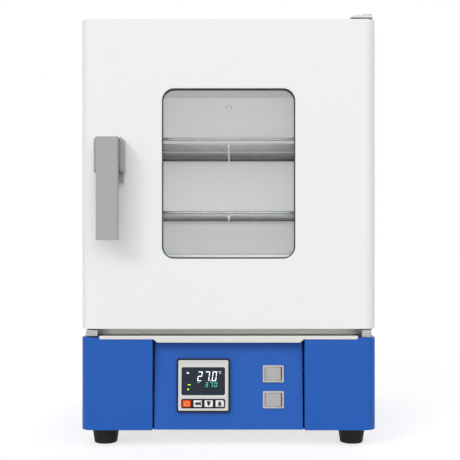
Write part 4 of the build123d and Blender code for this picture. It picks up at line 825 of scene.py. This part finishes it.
ring = {"radius": 0.0026, "stroke": 0.00065, "gap": 64, "steps": 28}
ringBar = {"length": 0.0026, "corner": 0.0002, "up": 0.0022}
form = bmesh.new()
near, far, top = ring["radius"], ring["radius"] + ring["stroke"], keys["thickness"]
corners = [form.verts.new((x, 0, z)) for x, z in ((near, 0), (far, 0), (far, top), (near, top))]
start = form.faces.new(corners)
bmesh.ops.spin(form, geom=[start, *start.edges, *start.verts], cent=(0, 0, 0), axis=(0, 0, 1),
               angle=math.radians(360 - ring["gap"]), steps=ring["steps"], dvec=(0, 0, 0))
gapUp = Matrix.Rotation(math.radians(90 + ring["gap"] / 2), 4, "Z")
bmesh.ops.transform(form, matrix=onKey("key_power") @ gapUp, verts=form.verts)
flatMark(form, ring["stroke"], ringBar["length"], ringBar["corner"],
         onKey("key_power", 0, ringBar["up"]), keys["thickness"])
addPiece(form, "key_power.symbol", "key_power_body", markFinishes["paleOrangeMark"],
         smoothAngle=20)
# a triangle is its x and up; a bar is its x, up, width and height
arrows = {
    "key_shift": {
        "turn": 90,
        "triangle": (-0.0016, 0.0),
        "bars": (
            (0.0014, 0.0, 0.0036, 0.0026),
            (0.0034, 0.0014, 0.0022, 0.0022),
            (0.0034, -0.0014, 0.0022, 0.0022),
        ),
    },
    "key_down": {
        "turn": 180,
        "triangle": (0.0, -0.0006),
        "bars": ((0.0, 0.0018, 0.0042, 0.0018), (0.0, 0.0033, 0.0064, 0.0008)),
    },
    "key_up": {
        "turn": 0,
        "triangle": (0.0, 0.0008),
        "bars": (
            (0.0, -0.0016, 0.0042, 0.0018),
            (0.0, -0.0034, 0.0064, 0.0008),
            (0.0044, 0.0034, 0.0014, 0.0012),
        ),
    },
}
for name, arrow in arrows.items():
    form = bmesh.new()
    place = onKey(name, *arrow["triangle"]) @ Matrix.Rotation(math.radians(arrow["turn"]), 4, "Z")
    addTriangle(form, place, keys["triangle"])
    for x, up, width, height in arrow["bars"]:
        flatMark(form, width, height, 0, onKey(name, x, up), keys["thickness"])
    addPiece(form, name + ".symbol", name + "_body", markFinishes["darkMark"], smoothAngle=20)
bezelLine = {
    "width": 0.0610,
    "height": 0.0005,
    "corner": 0.0001,
    "up": 0.0309,
    "lift": 0.00618,
    "thickness": 0.00005,
}
form = bmesh.new()
flatMark(form, bezelLine["width"], bezelLine["height"], bezelLine["corner"],
         onController @ Matrix.Translation((0, bezelLine["up"], bezelLine["lift"])), bezelLine["thickness"])
addPiece(form, "bezel_line", "cabinet", finishes["switch_plastic"], smoothAngle=20)
print("controller marks ready")


# folded hem along the front of the threshold
hem = {
    "half": 0.1745,
    "front": -0.1890,
    "deep": 0.0024,
    "low": 0.1508,
    "high": 0.1529,
    "rounding": 0.0003,
    "squareBelow": 0.001,
}
form = bmesh.new()
middle = Vector((0, hem["front"] + hem["deep"] / 2, (hem["low"] + hem["high"]) / 2))
size = Matrix.Diagonal((2 * hem["half"], hem["deep"], hem["high"] - hem["low"], 1))
bmesh.ops.create_cube(form, size=1.0, matrix=Matrix.Translation(middle) @ size)
upperEdges = [edge for edge in form.edges
              if min(v.co.z for v in edge.verts) > hem["low"] + hem["squareBelow"]]
bevelEdges(form, upperEdges, hem["rounding"], segments=4)
addPiece(form, "threshold_hem", "cabinet", finishes["stainless"])

# rest block under the door's free corner: two grooves run round a rounded bar
rest = {
    "low": (-0.1935, -0.1840, 0.1512),
    "high": (-0.1770, -0.1660, 0.1606),
    "rounding": 0.0012,
    "groove": 0.0009,
    "grooves": (0.1542, 0.1576),
    "grooveWall": 0.00012,
    "grooveDepth": 0.0006,
}
form = bmesh.new()
low, high = Vector(rest["low"]), Vector(rest["high"])
bmesh.ops.create_cube(form, size=1.0,
                      matrix=Matrix.Translation((low + high) / 2) @ Matrix.Diagonal((*(high - low), 1)))
bevelEdges(form, form.edges, rest["rounding"], segments=4)
for height in rest["grooves"]:
    for offset in (-rest["groove"] / 2, rest["groove"] / 2):
        bmesh.ops.bisect_plane(form, geom=form.verts[:] + form.edges[:] + form.faces[:], dist=1e-7,
                               plane_co=(0, 0, height + offset), plane_no=(0, 0, 1))
    band = [face for face in form.faces if abs(face.calc_center_median().z - height) < rest["groove"] / 2]
    bmesh.ops.inset_region(form, faces=band, thickness=rest["grooveWall"], depth=-rest["grooveDepth"],
                           use_even_offset=True)
addPiece(form, "rest_block", "cabinet", finishes["hinge_chrome"])
print("hem and rest block ready")

# pressed hoods over the louvres of the cabinet's back
louvres = {
    "columns": 9,
    "pitch": 0.030,
    "rows": (0.1825, 0.1975),
    "drop": 0.0004,
    "reach": (0.0098, 0.0034, 0.0040),
    "wall": 0.0006,
}
form = bmesh.new()
for row in louvres["rows"]:
    for column in range(louvres["columns"]):
        before = set(form.verts)
        bmesh.ops.create_uvsphere(form, u_segments=16, v_segments=8, radius=1.0)
        fresh = [vert for vert in form.verts if vert not in before]
        bmesh.ops.scale(form, vec=louvres["reach"], verts=fresh)
        for direction in ((0, -1, 0), (0, 0, -1)):
            fresh = [vert for vert in form.verts if vert not in before]
            edges = {edge for vert in fresh for edge in vert.link_edges}
            faces = {face for vert in fresh for face in vert.link_faces}
            bmesh.ops.bisect_plane(form, geom=fresh + list(edges) + list(faces), dist=1e-7,
                                   plane_co=(0, 0, 0), plane_no=direction, clear_outer=True)
        fresh = [vert for vert in form.verts if vert not in before]
        x = (column - (louvres["columns"] - 1) / 2) * louvres["pitch"]
        bmesh.ops.translate(form, verts=fresh, vec=(x, screws["backFace"], row - louvres["drop"]))
bmesh.ops.recalc_face_normals(form, faces=form.faces)
bmesh.ops.solidify(form, geom=form.faces[:], thickness=louvres["wall"])
addPiece(form, "louvre_hoods", "cabinet", finishes["white_paint"])
print("louvre hoods ready")
